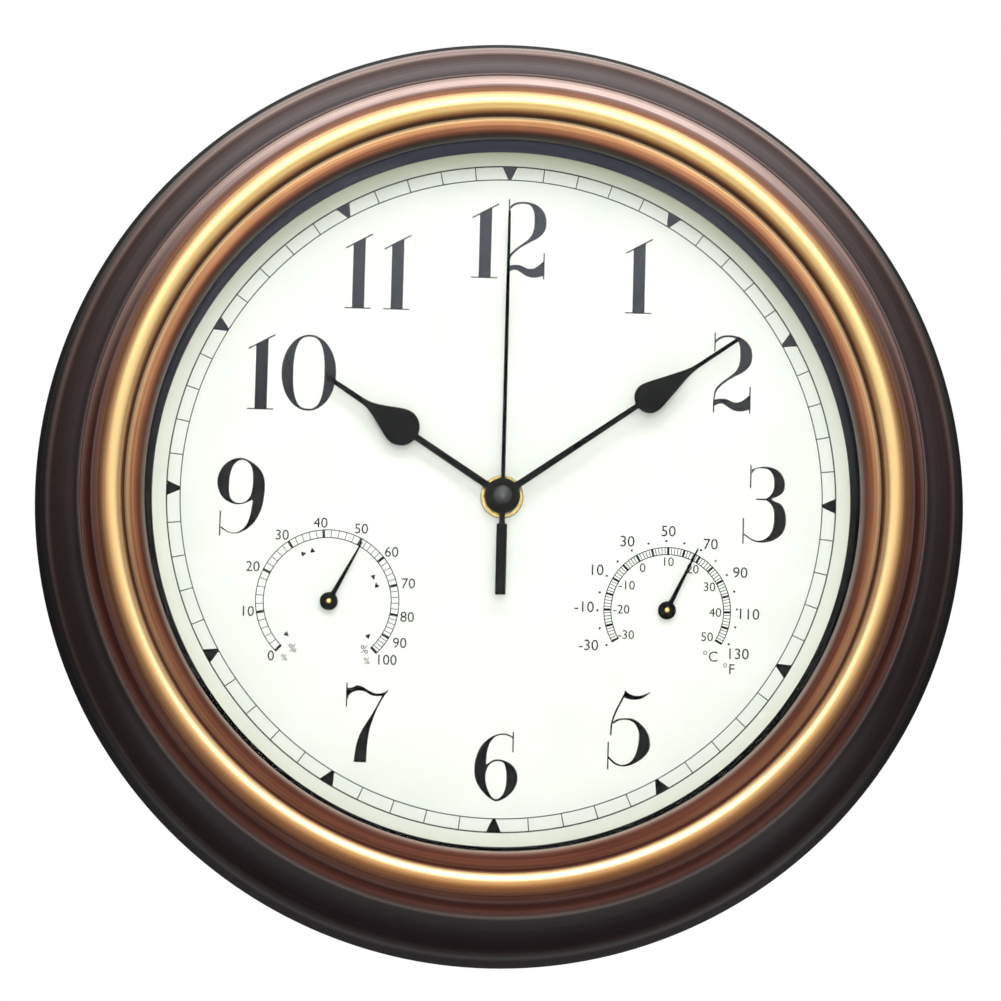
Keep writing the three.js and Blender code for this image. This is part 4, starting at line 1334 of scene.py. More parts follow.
def add_piece(name: str, mesh: Mesh, finish: Finish, nodes: Sequence[str] = (),
              body: Body = Body.CASE) -> None:
    """Puts a finished mesh in the scene.

    Args:
        name: The piece's name.
        mesh: Its mesh, in place.
        finish: Its finish.
        nodes: The CAD nodes that it stands for.
        body: The body that it moves with.
    """
    mesh.name = name
    dress(mesh, finish)
    piece = in_scene(name, mesh)
    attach(piece, body.value)
    if nodes:
        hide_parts(*nodes)
    LOG.info("%s: %d faces on %s", name, len(mesh.polygons), body.value)


def dress(mesh: Mesh, finish: Finish) -> None:
    """Gives a mesh one finish alone."""
    mesh.materials.clear()
    mesh.materials.append(finish.material())


def paint_node(node: str, finish: Finish) -> None:
    """Gives a CAD node that stays in view its finish."""
    dress(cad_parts[node].data, finish)
    LOG.info("%s: painted", node)


def refine_node(node: str, finish: Finish, bevel: float = 0.0,
                body: Body = Body.CASE) -> None:
    """Replaces a CAD node by a copy with softened edges and its finish."""
    add_piece(f"{node}_dressed", refined(node, bevel), finish, [node], body)


# Paint at each place across the ring's front, as a share from the lip to the rim, with painted
# light and shade. The columns after it are those of MouldingFinish: its top colours hold painted
# highlights and its foot colours painted shade, with painted highlights at the foot on the
# inner side of the gold roll and on the lip.
REAR_PAINT_AND_SHADE = ((30, 28, 29), (20, 16, 18), 0.05, 0.5, 0.3, 2.0)
LIP_PAINT_AND_LIGHT = ((50, 44, 40), (196, 174, 158), 0.2, 0.36, 0.2, 0.6)
RING_PAINT_AND_LIGHT = (
    (1.0, (30, 28, 29), (18, 13, 15), 0.05, 0.5, 0.3, 2.0),
    (0.94, (34, 32, 33), (20, 14, 16), 0.05, 0.45, 0.3, 2.0),
    (0.916, (250, 234, 226), (30, 23, 25), 0.5, 0.32, 0.3, 13.0),
    (0.895, (190, 170, 162), (38, 30, 31), 0.4, 0.34, 0.4, 4.5),
    (0.88, (150, 128, 121), (36, 27, 28), 0.4, 0.34, 0.5, 1.0),
    (0.867, (166, 142, 134), (42, 32, 33), 0.5, 0.32, 0.3, 1.6),
    (0.835, (86, 70, 66), (34, 25, 28), 0.2, 0.36, 0.5, 1.6),
    (0.65, (94, 83, 85), (22, 13, 17), 0.2, 0.34, 0.4, 0.7),
    (0.59, (70, 59, 60), (36, 26, 29), 0.2, 0.36, 0.5, 1.2),
    (0.568, (140, 122, 121), (116, 101, 97), 0.4, 0.34, 0.4, 1.4),
    (0.543, (70, 50, 46), (52, 36, 34), 0.3, 0.4, 0.4, 4.0),
    (0.533, (253, 232, 222), (112, 76, 68), 0.25, 0.32, 0.2, 4.5),
    (0.5, (252, 222, 212), (82, 44, 35), 0.25, 0.3, 0.4, 6.0),
    (0.462, (250, 224, 217), (60, 28, 22), 0.25, 0.3, 0.4, 8.0),
    (0.444, (128, 104, 100), (92, 68, 65), 0.4, 0.34, 0.5, 2.0),
    (0.405, (128, 88, 66), (92, 60, 50), 0.4, 0.38, 0.5, 1.0),
    (0.375, (186, 138, 96), (112, 72, 54), 0.5, 0.36, 0.5, 1.0),
    (0.345, (232, 182, 128), (128, 82, 56), 0.6, 0.32, 0.4, 1.0),
    (0.312, (250, 210, 150), (152, 98, 60), 0.8, 0.3, 0.2, 0.9),
    (0.285, (251, 217, 150), (216, 160, 100), 0.9, 0.3, 0.1, 0.8),
    (0.225, (250, 212, 136), (252, 220, 172), 0.9, 0.3, 0.1, 1.0),
    (0.203, (196, 142, 90), (238, 196, 144), 0.8, 0.32, 0.2, 1.6),
    (0.182, (92, 60, 48), (128, 80, 60), 0.5, 0.4, 0.3, 1.2),
    (0.168, (50, 28, 18), (96, 56, 46), 0.3, 0.45, 0.3, 1.0),
    (0.161, (252, 234, 196), (150, 100, 86), 0.3, 0.32, 0.2, 1.4),
    (0.135, (250, 206, 148), (84, 44, 33), 0.3, 0.32, 0.4, 1.2),
    (0.1, (238, 172, 122), (92, 52, 41), 0.3, 0.36, 0.6, 1.5),
    (0.055, (166, 108, 84), (74, 37, 29), 0.3, 0.38, 0.7, 0.9),
    (0.03, (80, 57, 48), (112, 74, 60), 0.3, 0.4, 0.3, 1.0),
    (0.012, *LIP_PAINT_AND_LIGHT),
)


@dataclass
class RingFrame:
    """The moulded round frame: bronze outside, a gold roll, a copper band and the lip.

    Places on its front are shares: across from the lip to the rim, and out from the wall to the
    crest. A third number says how far a corner's round reaches, in millimetres.
    """

    opening: float = 115.3
    smooth_below: float = 28.0
    shelf_depth: float = 33.1
    barrel_inner: float = 119.2
    barrel_outer: float = 121.6
    barrel_rear: float = 12.9
    barrel_front: float = 37.8
    ledge_depth: float = 6.6
    ledge_width: float = 2.8
    wall: float = 2.4
    boss_radius: float = 3.5
    boss_front: float = 38.1
    cove_steps: int = 20
    roll_centre: Point = (0.266, 0.874)
    roll_size: Point = (0.13, 0.126)
    roll_inner: float = 0.1
    roll_start: float = 18.0
    roll_steps: int = 18
    rear_paint_from: float = 0.01
    side_shares: tuple = ((1.0, 0.0, 0.0), (1.0, 0.113, 0.9), (0.893, 0.345, 2.4))
    cove_shares: tuple[Point, ...] = ((0.856, 0.391), (0.688, 0.491), (0.572, 0.783))
    step_shares: tuple = (
        (0.566, 0.803, 0.25), (0.554, 0.808, 0.25), (0.545, 0.797, 0.2), (0.536, 0.8, 0.2),
        (0.452, 0.888, 0.3), (0.41, 0.905, 0.0),
    )
    band_shares: tuple = (
        (0.161, 0.892, 0.2), (0.136, 0.904, 0.6), (0.075, 0.893, 0.9), (0.012, 0.838, 0.5),
        (0.0, 0.805, 0.3),
    )
    under_shares: tuple[Point, ...] = (
        (0.2846, 0.945), (0.36, 0.88), (0.4, 0.79), (0.49, 0.725), (0.545, 0.69),
        (0.655, 0.52), (0.81, 0.355),
    )
    stations: list[Point] = field(default_factory=list)

    def outline(self) -> list[Point]:
        """Draws the whole outline, and keeps how far along it each radius of the front lies.

        Returns:
            Points of (radius, depth).
        """
        radius, _, crest = extent("outer_frame")
        width = radius - self.opening

        def at(across: float, out: float) -> Point:
            """Turns shares of the moulding into a radius and a depth."""
            return self.opening + across * width, out * crest

        def soft(shares: Sequence) -> list[Point]:
            """Rounds a run of corners."""
            return eased([(*at(across, out), reach) for across, out, reach in shares])

        roll_across, roll_out = self.roll_centre
        roll = []
        for first, last, reach, extra in (
            (self.roll_start, 90.0, self.roll_size[0], 0), (90.0, 180.0, self.roll_inner, 1),
        ):
            for step in range(self.roll_steps + extra):
                angle = math.radians(first + (last - first) * step / self.roll_steps)
                roll.append(at(
                    roll_across + reach * math.cos(angle),
                    roll_out + self.roll_size[1] * math.sin(angle),
                ))
        ends = [Vector(at(*share)) for share in self.cove_shares]
        cove = [bend(*ends, step / self.cove_steps) for step in range(self.cove_steps + 1)]
        front = [
            *soft([*self.side_shares, (*self.cove_shares[0], 0.0)])[:-1], *cove,
            *soft([(*self.cove_shares[2], 0.0), *self.step_shares])[1:], *roll,
            *soft([(roll_across - self.roll_inner, roll_out, 0.0), *self.band_shares,
                   (0.0, self.shelf_depth / crest, 0.0)])[1:],
        ]
        rim_inner = radius - self.wall
        behind = [
            (self.barrel_inner, self.shelf_depth), (self.barrel_inner, self.barrel_rear),
            (self.barrel_outer, self.barrel_rear), (self.barrel_outer, self.barrel_front),
            *(at(*share) for share in self.under_shares),
            (rim_inner - self.ledge_width, self.ledge_depth), (rim_inner, self.ledge_depth),
            (rim_inner, 0.0),
        ]
        whole = front + behind
        self.stations = [(spot[0], share) for spot, share in zip(front, distances(whole))]
        return whole

    def spot(self, share: float) -> float:
        """Finds where along the outline the front reaches a share of the moulding's width.

        Args:
            share: The share, from the lip to the rim.

        Returns:
            How far along the outline that is.
        """
        wanted = self.opening + share * (self.stations[0][0] - self.opening)
        for (before, start), (after, end) in zip(self.stations, self.stations[1:]):
            if before >= wanted > after:
                return start + (end - start) * (before - wanted) / (before - after)
        return self.stations[-1][1]

    def finish(self) -> MouldingFinish:
        """Places the paint on the parts of the outline.

        Returns:
            The ring's finish.
        """
        end = self.stations[-1][1]
        # Each stop carries the paint with its painted highlights and shade.
        stops = tuple((self.spot(share), *rest) for share, *rest in RING_PAINT_AND_LIGHT)
        return MouldingFinish(
            "bronze_gold_moulding", (80, 69, 68), (28, 19, 23), 0.38, metallic=0.4,
            specular=0.04, grain_size=0.4, drift_size=22.0, bump=0.01,
            stops=(*stops, (end, *LIP_PAINT_AND_LIGHT), (end + self.rear_paint_from, *REAR_PAINT_AND_SHADE)),
        )

    def build(self) -> None:
        """Builds the moulding with its screw bosses."""
        ring = lathe(self.outline(), FINE_SIDES, degrees=self.smooth_below)
        boss = lathe(collar(0.0, self.boss_radius, self.ledge_depth, self.boss_front), 24)
        add_piece("moulded_frame", ring, self.finish(), ["outer_frame"])
        bosses = copies_on_circle(boss, PLASTIC)
        add_piece("frame_bosses", bosses, PLASTIC)


@dataclass
class Glazing:
    """The glass, its rubber ring and the black wall between glass and dial."""

    glass_edge: float = 0.3
    seal_inner: float = 116.3
    seat_outer: float = 118.9
    seal_edge: float = 0.15
    wall_foot: float = 113.5
    wall_neck: float = 114.9
    wall_top: float = 115.3
    wall_edge: float = 0.3
    bead: float = 0.35

    def build(self) -> None:
        """Builds the three rings."""
        radius, rear, front = extent("lens")
        edges = (0.0, self.glass_edge, self.glass_edge, 0.0)
        pane = lathe(collar(0.0, radius, rear, front, edges), FINE_SIDES, degrees=8.0)
        add_piece("glass_pane", pane, GLASS, ["lens"])
        _, rear, front = extent("lens_seal")
        edges = (self.seal_edge,) * 4
        seal = lathe(collar(self.seal_inner, self.seat_outer, rear, front, edges), FINE_SIDES)
        add_piece("glass_seal", seal, RUBBER, ["lens_seal"])
        _, rear, front = extent("spacer_ring")
        edge = self.wall_edge
        wall = eased([
            (self.wall_foot, rear, 0.25), (self.seat_outer, rear, edge),
            (self.seat_outer, front, edge), (self.wall_top, front, edge),
            (self.wall_neck, front - self.bead * 3, edge),
            (self.wall_neck - self.bead, front - self.bead * 4, 0.2),
            (self.wall_foot + self.bead, rear + 1.6, 0.2), (self.wall_foot, rear + 1.2, 0.2),
        ])
        add_piece("inner_wall", lathe(wall, FINE_SIDES), WALL_PAINT_AND_SHEEN,
                  ["spacer_ring"])


@dataclass(frozen=True)
class Glyph:
    """One numeral, drawn in hundredths of its height from its left edge and its foot."""

    width: float
    strokes: tuple[tuple[Outline, ...], ...]


# Height of the print above the dial, and how much higher the bold marks are, so that they show.
PRINT_HEIGHT = 0.03
RAISED = 1.3
HUMIDITY_PIVOT = (-55.2, -35.6)
TEMPERATURE_PIVOT = (54.4, -35.6)


def ribbon(outer: Sequence[Point], inner: Sequence[Point], *more: int) -> Outline:
    """Draws a stroke between two edges that both run the same way.

    Args:
        outer: The first edge.
        inner: The second edge.
        *more: Further corners, by their place in outer.

    Returns:
        The stroke's outline.
    """
    count = len(outer)
    ends = (0, count - 1, count, count + len(inner) - 1, *more)
    return Outline((*outer, *reversed(inner)), ends)


def upright_line(x: float, foot: float, top: float) -> tuple[Outline]:
    """Returns the hairline serif of a numeral."""
    return (stroke((x, foot), (x, top), 1.7),)


ONE = Glyph(33.5, (
    (polygon((9.5, 0.5), (24.8, 0.5), (24.8, 91.5), (9.5, 83.0)),),
    (stroke((0.0, 77.4), (33.5, 96.0), 1.8),),
    (stroke((0.0, 0.8), (33.5, 0.8), 1.6),),
))
ZERO = Glyph(69.0, ((
    oval(69.0, 97.0).moved(1.0, 34.5, 48.5), oval(39.4, 92.0, 2.6).moved(1.0, 34.5, 48.5),
),))
TWO = Glyph(48.0, (
    (ribbon(
        ((0, 92.2), (7.2, 97.6), (16.5, 99.6), (28.6, 98.2), (36.7, 94.8), (44.8, 86.3),
         (48, 74.2), (45.6, 62.1), (37.5, 53.2), (26.2, 46.8), (17, 41), (8.8, 34.2),
         (3.6, 27.8), (1.8, 21.8), (1, 16.1)),
        ((0.6, 89), (7.7, 94.8), (16.5, 97), (26.2, 95.2), (31, 88.7), (32.7, 75.8),
         (31.5, 62.1), (26.2, 52.4), (16.5, 44.4), (7.7, 37.1), (1.8, 30), (-0.6, 16.1)),
    ),),
    (ribbon(
        ((0.4, 16.1), (7.7, 18.1), (15.7, 17.7), (26.2, 13.7), (33.5, 14.5), (46.4, 24.6)),
        ((0, 7.7), (5.2, 10.9), (10.9, 11.7), (17.3, 8.1), (26.2, 3.2), (35.9, 2.4),
         (45.6, 5.2)),
    ),),
    upright_line(0.3, 78.6, 102.4), upright_line(0.0, 0.0, 17.0),
    upright_line(46.0, 0.0, 34.3),
))
THREE = Glyph(54.3, (
    (Outline((
        (10.1, 95.2), (24.6, 98.8), (34.3, 98), (44, 93.5), (50.4, 84.7), (52.2, 75.8),
        (50.4, 67.7), (45.6, 62.9), (35.1, 57.7), (39.1, 55.2), (47.2, 51.6), (52, 44.4),
        (54.3, 33.1), (52.8, 20.2), (48, 12.1), (40.7, 6.5), (32.7, 3.2), (24.6, 2),
        (14.9, 3.2), (6.9, 7.3), (0.8, 11.7), (1.6, 13.3), (5.2, 10.5), (12.5, 6),
        (20.6, 4.4), (28.6, 7.3), (34.3, 12.9), (38.3, 22.6), (39.1, 33.1), (38.3, 44.4),
        (34.3, 51.6), (28.6, 56), (15.7, 56.3), (15.7, 57.9), (28.6, 58.1), (33.5, 62.1),
        (37.5, 68.5), (38.7, 78.2), (36.7, 87.9), (31.9, 94.4), (24.6, 96.6), (14.9, 95.2),
        (9.7, 89.5),
    ), (0, 8, 20, 21, 31, 32, 33, 34, 42)),),
    upright_line(8.6, 71.0, 100.8), upright_line(0.2, 0.0, 32.7),
))
FIVE = Glyph(52.8, (
    (ribbon(
        ((20.2, 100), (25.4, 96), (32.7, 93.5), (41.5, 94), (52, 98.4)),
        ((18.1, 91.1), (25.4, 88.7), (33.5, 88.3), (40.7, 89.5), (47.2, 93.5), (52.4, 97.6)),
    ),),
    (Outline(((20.4, 92.7), (18.0, 93.5), (4.1, 60.7), (2.5, 42.7), (4.5, 42.5), (6.2, 60.2)),
             (0, 1, 3, 4)),),
    (ribbon(
        ((5.2, 58.9), (10.9, 62.9), (21.4, 64.7), (31.9, 63.7), (39.9, 58.9), (48, 50),
         (52.8, 38.7), (52.4, 25.8), (46.4, 16.9), (38.3, 10.5), (28.6, 5.6), (19.8, 3.9),
         (10.1, 6), (0.8, 13.7)),
        ((6.9, 57.3), (14.1, 61.7), (23, 62.5), (30.2, 60.5), (36.7, 53.2), (39.1, 44.4),
         (38.3, 32.3), (35.9, 21), (31, 12.1), (25.4, 7.7), (18.1, 6), (10.1, 8.9),
         (1.6, 16.1)),
    ),),
    upright_line(0.7, 0.0, 34.3),
))
SIX = Glyph(54.5, (
    (ribbon(
        ((48.3, 81), (42.2, 84.3), (34.9, 85.4), (25.4, 83.2), (16.7, 78.1), (8, 68.7),
         (2.2, 55.6), (0, 41.1), (1.5, 28), (7.3, 16.4), (15.3, 7.6), (22.5, 2.2), (28.3, 0),
         (36.3, 2.5), (45.1, 9.1), (51.6, 17.8), (54.5, 28), (53.1, 37.4), (48, 45.4),
         (40.7, 50.1), (32.7, 52.3), (24.7, 52), (15.3, 46.1)),
        ((48, 76.7), (45.8, 80.3), (40.7, 82.8), (34.2, 83.6), (26.9, 81.8), (20.3, 75.2),
         (16, 64.3), (14.5, 46.9)),
    ), Outline((
        (27.6, 50.4), (21.1, 47.6), (16, 40.3), (14, 30.2), (16, 19.3), (20.3, 9.1),
        (25.4, 3.3), (29.8, 2.9), (35.6, 7.6), (39.2, 15.6), (40.6, 26.5), (39.6, 40.3),
        (36.3, 48.3), (31.3, 50.4),
    ))),
    upright_line(48.0, 62.1, 87.6),
))
SEVEN = Glyph(54.0, (
    (ribbon(
        ((1.2, 93.1), (6.5, 93.5), (12.9, 96.4), (19.4, 95.2), (28.2, 90.3), (36.3, 87.1),
         (44.4, 87.5), (54, 92.7)),
        ((1.2, 78.2), (4.8, 85.5), (11.3, 89.1), (18.5, 89.9), (25, 87.9), (31.5, 84.3),
         (39.5, 83.5), (44.8, 83.9)),
    ),),
    (ribbon(
        ((44.8, 83.9), (39.5, 73.4), (33.1, 61.3), (26.6, 50.8), (19.4, 37.9), (14.5, 23.4),
         (11.3, 0)),
        ((54, 92.3), (46.8, 82.3), (40.3, 70.2), (34.7, 55.6), (30.6, 41.9), (28.2, 25.8),
         (27.2, 9.7), (27.2, 0)),
    ),),
    upright_line(0.4, 69.4, 99.6),
))
NINE = Glyph(60.1, (
    (Outline((
        (29, 99.4), (39.9, 96), (50.4, 88.7), (57.7, 78.2), (60.1, 66.1), (59.3, 51.6),
        (56.9, 37.1), (51.2, 23.4), (43.1, 12.9), (34.3, 6.5), (23.8, 3.2), (14.9, 4.8),
        (6, 9.7), (6.9, 12.1), (14.1, 6.5), (23, 4.4), (31, 7.3), (36.7, 12.9), (41.5, 23.4),
        (44, 35.5), (45.2, 44.4), (44.8, 46.8), (36.7, 42.7), (27, 40.3), (17.3, 42.3),
        (7.7, 48.4), (2, 58.1), (0, 67.7), (2, 79.8), (9.3, 91.1), (19, 97.6),
    ), (12, 13, 20, 21)), Outline((
        (29, 96.8), (37.5, 94.4), (43.1, 86.3), (44.8, 74.2), (44, 59.7), (40.7, 49.2),
        (34.3, 43.5), (26.2, 42.3), (19.8, 45.2), (15.7, 53.2), (14.9, 67.7), (16.5, 81.5),
        (21.4, 91.9),
    ))),
    upright_line(4.8, 0.0, 31.9),
))


def print_span(raised: float = 1.0) -> tuple[float, float]:
    """Returns the depths of the dial's print, whose face may be raised a little more."""
    front = extent("dial")[2]
    return front - PRINT_HEIGHT, front + PRINT_HEIGHT * raised


@dataclass
class DialFace:
    """The printed dial: its plate, the numerals and the minute track."""

    unit: float = 0.257
    numerals: tuple = (
        ((ONE, TWO), 11.9, (0.25, 84.9)), ((ONE, ONE), 12.6, (-42.3, 72.9)),
        ((ONE, ZERO), 10.9, (-69.3, 38.9)), ((ONE,), 0.0, (43.0, 73.9)),
        ((TWO,), 0.0, (74.5, 42.8)), ((THREE,), 0.0, (85.7, -0.1)),
        ((FIVE,), 0.0, (43.0, -74.6)), ((SIX,), 0.0, (0.3, -87.5)),
        ((SEVEN,), 0.0, (-41.7, -74.5)), ((NINE,), 0.0, (-84.7, -2.4)),
    )
    track_outer: float = 108.8
    track_inner: float = 104.4
    outer_line: float = 0.45
    inner_line: float = 0.35
    tick_width: float = 0.34
    wedge_base: float = 5.0
    wedge_tip: float = 0.9
    centre_hole: float = 4.3
    pivot_hole: float = 0.9

    def build(self) -> None:
        """Builds the plate and its print."""
        radius, rear, front = extent("dial")
        holes = [disc(self.pivot_hole, pivot) for pivot in (HUMIDITY_PIVOT, TEMPERATURE_PIVOT)]
        plate = pressed([disc(radius, points=96), disc(self.centre_hole), *holes], rear, front)
        add_piece("dial_plate", plate, PAPER, ["dial"])
        span = print_span()
        add_piece("dial_numerals", self.numeral_mesh(span), INK_AND_SHEEN)
        middle = (self.track_outer + self.track_inner) / 2
        depth = self.track_outer - self.track_inner
        ticks = MarkRing(61, middle, 0.0, WHOLE_TURN, self.tick_width, self.tick_width, depth,
                         *span, skip=5)
        lines = [
            circle_band(self.track_outer, self.outer_line, *span),
            circle_band(self.track_inner, self.inner_line, *span), ticks.mesh(TRACK_INK),
        ]
        add_piece("minute_track", joined(lines), TRACK_INK)
        wedges = MarkRing(12, middle, 0.0, WHOLE_TURN * 11 / 12, self.wedge_base,
                          self.wedge_tip, depth, *print_span(RAISED))
        add_piece("hour_wedges", wedges.mesh(INK_AND_SHEEN), INK_AND_SHEEN)

    def numeral_mesh(self, span: tuple[float, float]) -> Mesh:
        """Draws every numeral round its own centre.

        Args:
            span: The depths of its rear and its front.

        Returns:
            The numerals as one mesh.
        """
        meshes = []
        for glyphs, pitch, (x, z) in self.numerals:
            width = pitch * (len(glyphs) - 1) + glyphs[-1].width * self.unit
            height = max(
                point[1] for glyph in glyphs for shape in glyph.strokes for point in shape[0].points
            )
            foot = z - height * self.unit / 2
            for index, glyph in enumerate(glyphs):
                left = x - width / 2 + index * pitch
                for shape in glyph.strokes:
                    meshes.append(pressed(
                        [outline.moved(self.unit, left, foot) for outline in shape], *span
                    ))
        return joined(meshes)


@dataclass
class SmallScale:
    """A small scale on the dial: two arcs, fine and bold ticks, and its numbers.

    Numbers come by their height, each with its place. Dots come as rows of radius, first angle,
    turn and count, and arrowheads as place and turn. Places are measured from the centre.
    """

    name: str
    centre: Point
    outer: float
    inner: float
    start: float
    end: float
    fine_count: int
    bold_count: int
    bold: float
    numbers: Mapping[float, tuple[tuple[str, float, float], ...]]
    dots: tuple[tuple[float, float, float, int], ...] = ()
    arrows: tuple[tuple[Point, float], ...] = ()
    law: tuple[Point, ...] = ((0.0, 0.0), (1.0, 1.0))
    line: float = 0.3
    fine: float = 0.22
    dot: float = 0.75
    arrowhead: Outline = polygon((-0.85, -0.7), (0.85, -0.7), (0.0, 1.0))

    def marks(self, *sizes: float, span: tuple[float, float], **more: object) -> Mesh:
        """Lays a ring of marks round the scale's centre.

        Args:
            *sizes: What MarkRing takes, up to the length of a mark.
            span: The depths of its rear and its front.
            **more: The ring's other values.

        Returns:
            The marks as one mesh.
        """
        return MarkRing(*sizes, *span, centre=self.centre, **more).mesh(SCALE_INK)

    def build(self) -> None:
        """Prints the scale on the dial."""
        span = print_span()
        sweep = self.end - self.start
        middle, depth = (self.outer + self.inner) / 2, self.outer - self.inner
        end_reach = math.degrees(self.bold / 2 / middle)
        lines = [
            arc_band(radius, self.line, self.start - end_reach, self.end + end_reach, *span,
                     self.centre)
            for radius in (self.outer, self.inner)
        ]
        for count, width, raised in (
            (self.fine_count, self.fine, 1.0), (self.bold_count, self.bold, RAISED),
        ):
            lines.append(self.marks(count, middle, self.start, sweep, width, width, depth,
                                    span=print_span(raised), law=self.law))
        for height, texts in self.numbers.items():
            for text, x, z in texts:
                place = (self.centre[0] + x, self.centre[1] + z)
                lines.append(lettered(text, height, place, *span))
        for radius, start, turn, count in self.dots:
            lines.append(self.marks(count, radius, start, turn, self.dot, self.dot, self.dot,
                                    span=span, mark=Mark.DOT))
        for (x, z), turn in self.arrows:
            head = pressed([self.arrowhead], *span)
            lines.append(turned_about(head, turn, (self.centre[0] + x, self.centre[1] + z)))
        add_piece(self.name, joined(lines), SCALE_INK)


HUMIDITY_ANGLES = (-135.1, -100.5, -64.9, -34.5, -4.6, 27.0, 50.4, 75.3, 100.1, 119.5, 134.9)
HUMIDITY_SCALE = SmallScale(
    "humidity_scale", (-55.7, -35.5), 23.2, 20.7, -135.1, 134.9, 51, 11, 0.85,
    {
        3.3: (("0", -17.7, -18.1), ("10", -25.4, -3.9), ("20", -24.4, 10.7), ("30", -15.2, 21.2),
              ("40", -2.9, 25.5), ("50", 10.4, 23.9), ("60", 20.4, 16.6), ("70", 26.1, 6.5),
              ("80", 26.0, -4.4), ("90", 23.8, -12.9), ("100", 20.0, -18.5)),
        2.7: (("%", -10.8, -15.5), ("%", 12.4, -15.3)),
        2.1: (("%", -13.4, -18.6), ("%", 13.3, -19.0)),
    },
    arrows=(((-12.8, -11.1), 130.0), ((-8.1, 15.2), 78.0), ((-5.3, 16.4), -15.0),
            ((14.7, 8.2), 165.0), ((15.8, 5.6), -15.0), ((13.6, -10.9), 45.0)),
    law=tuple((i / 10, (angle + 135.1) / 270.0) for i, angle in enumerate(HUMIDITY_ANGLES)),
)
TEMPERATURE_SCALE = SmallScale(
    "temperature_scale", (54.6, -35.6), 20.6, 18.3, -120.4, 120.0, 81, 17, 0.75,
    {
        2.9: (("-30", -13.2, -8.1), ("-20", -14.9, 0.1), ("-10", -13.3, 8.0), ("0", -8.3, 13.8),
              ("10", 0.2, 16.0), ("20", 8.0, 13.8), ("30", 13.6, 8.2), ("40", 15.6, -0.1),
              ("50", 13.1, -8.1)),
        3.5: (("-30", -25.3, -11.8), ("-10", -27.0, 0.6), ("10", -22.9, 12.7),
              ("30", -13.4, 22.3), ("50", -0.1, 26.0), ("70", 13.7, 22.1), ("90", 23.5, 13.1),
              ("110", 26.8, -0.4), ("130", 23.6, -13.4), ("°C", 14.3, -14.4),
              ("°F", 20.4, -18.3)),
    },
    dots=((22.7, -120.9, 238.0, 17),),
)


@dataclass
class HandSet:
    """The three hands, each with its boss, turned to the time in the photograph."""

    bevel: float = 0.12
    angles: tuple[float, float, float] = (302.7, 54.9, 0.0)
    hour_boss: Point = (3.1, 5.75)
    hour_thickness: float = 0.6
    minute_boss: Point = (1.9, 4.0)
    minute_thickness: float = 0.5
    boss_edges: Four = (0.0, 0.15, 0.25, 0.0)
    bar_thickness: float = 0.4
    bar_bevel: float = 0.06
    bar_edge: tuple[Point, ...] = (
        (1.7, -32.5), (1.7, -9.5), (0.9, -9.5), (0.9, -2.0), (0.68, 0.0), (0.6, 60.0),
        (0.4, 92.6), (0.3, 92.9),
    )
    hour_edge: tuple[Point, ...] = (
        (1.22, 0.0), (1.06, 33.69), (3.6, 34.8), (5.45, 37.1), (6.0, 39.6), (5.55, 41.9),
        (4.4, 44.5), (3.1, 47.3), (1.9, 50.1), (1.15, 52.6), (0.95, 54.6), (0.9, 57.5),
        (0.72, 68.5), (0.5, 69.0),
    )
    minute_edge: tuple[Point, ...] = (
        (1.15, 0.0), (0.86, 52.47), (3.1, 53.5), (4.55, 55.3), (5.0, 57.4), (4.8, 59.0),
        (3.95, 62.2), (2.95, 65.8), (1.95, 69.4), (1.15, 72.5), (0.78, 75.0), (0.68, 78.0),
        (0.6, 92.6), (0.4, 93.0),
    )
    foot_corners: tuple[int, ...] = (0, 1, 11, 12, 13)

    def spade(self, node: str, edge: Sequence[Point], thickness: float,
              boss: Point) -> Mesh:
        """Makes a hand with its boss, pointing to twelve.

        Args:
            node: The CAD hand that it stands for.
            edge: Its right-hand edge.
            thickness: Its blade's thickness.
            boss: The boss's bore and its radius.

        Returns:
            The hand's mesh.
        """
        last = 2 * len(edge) - 1
        corners = (*self.foot_corners, *(last - corner for corner in self.foot_corners))
        _, rear, front = extent(node)
        middle = (rear + front) / 2
        span = (middle - thickness / 2, middle + thickness / 2)
        blade = pressed([Outline(mirrored(edge), corners)], *span, self.bevel)
        return joined([blade, lathe(collar(*boss, rear, front, self.boss_edges), 64)])

    def build(self) -> None:
        """Builds the hands and turns each to its angle."""
        hour = self.spade("hour_hand", self.hour_edge, self.hour_thickness, self.hour_boss)
        minute = self.spade("minute_hand", self.minute_edge, self.minute_thickness,
                            self.minute_boss)
        _, rear, front = extent("second_hand")
        cap = eased([
            (0.0, rear, 0.0), (2.95, rear, 0.12), (2.95, front - 0.75, 0.25),
            (2.3, front - 0.3, 0.4), (1.3, front - 0.06, 0.5), (0.0, front, 0.0),
        ], 6)
        add_piece("second_hand_cap", lathe(cap, 64, degrees=50.0), CAP_PAINT,
                  body=Body.SECOND)
        second = pressed([polygon(*mirrored(self.bar_edge))], rear, rear + self.bar_thickness,
                         self.bar_bevel)
        for name, node, mesh, angle, body in zip(
            ("hour_hand_spade", "minute_hand_spade", "second_hand_bar"),
            ("hour_hand", "minute_hand", "second_hand"), (hour, minute, second), self.angles,
            (Body.HOUR, Body.MINUTE, Body.SECOND),
        ):
            add_piece(name, turned_about(mesh, angle), HAND_PAINT, [node], body)


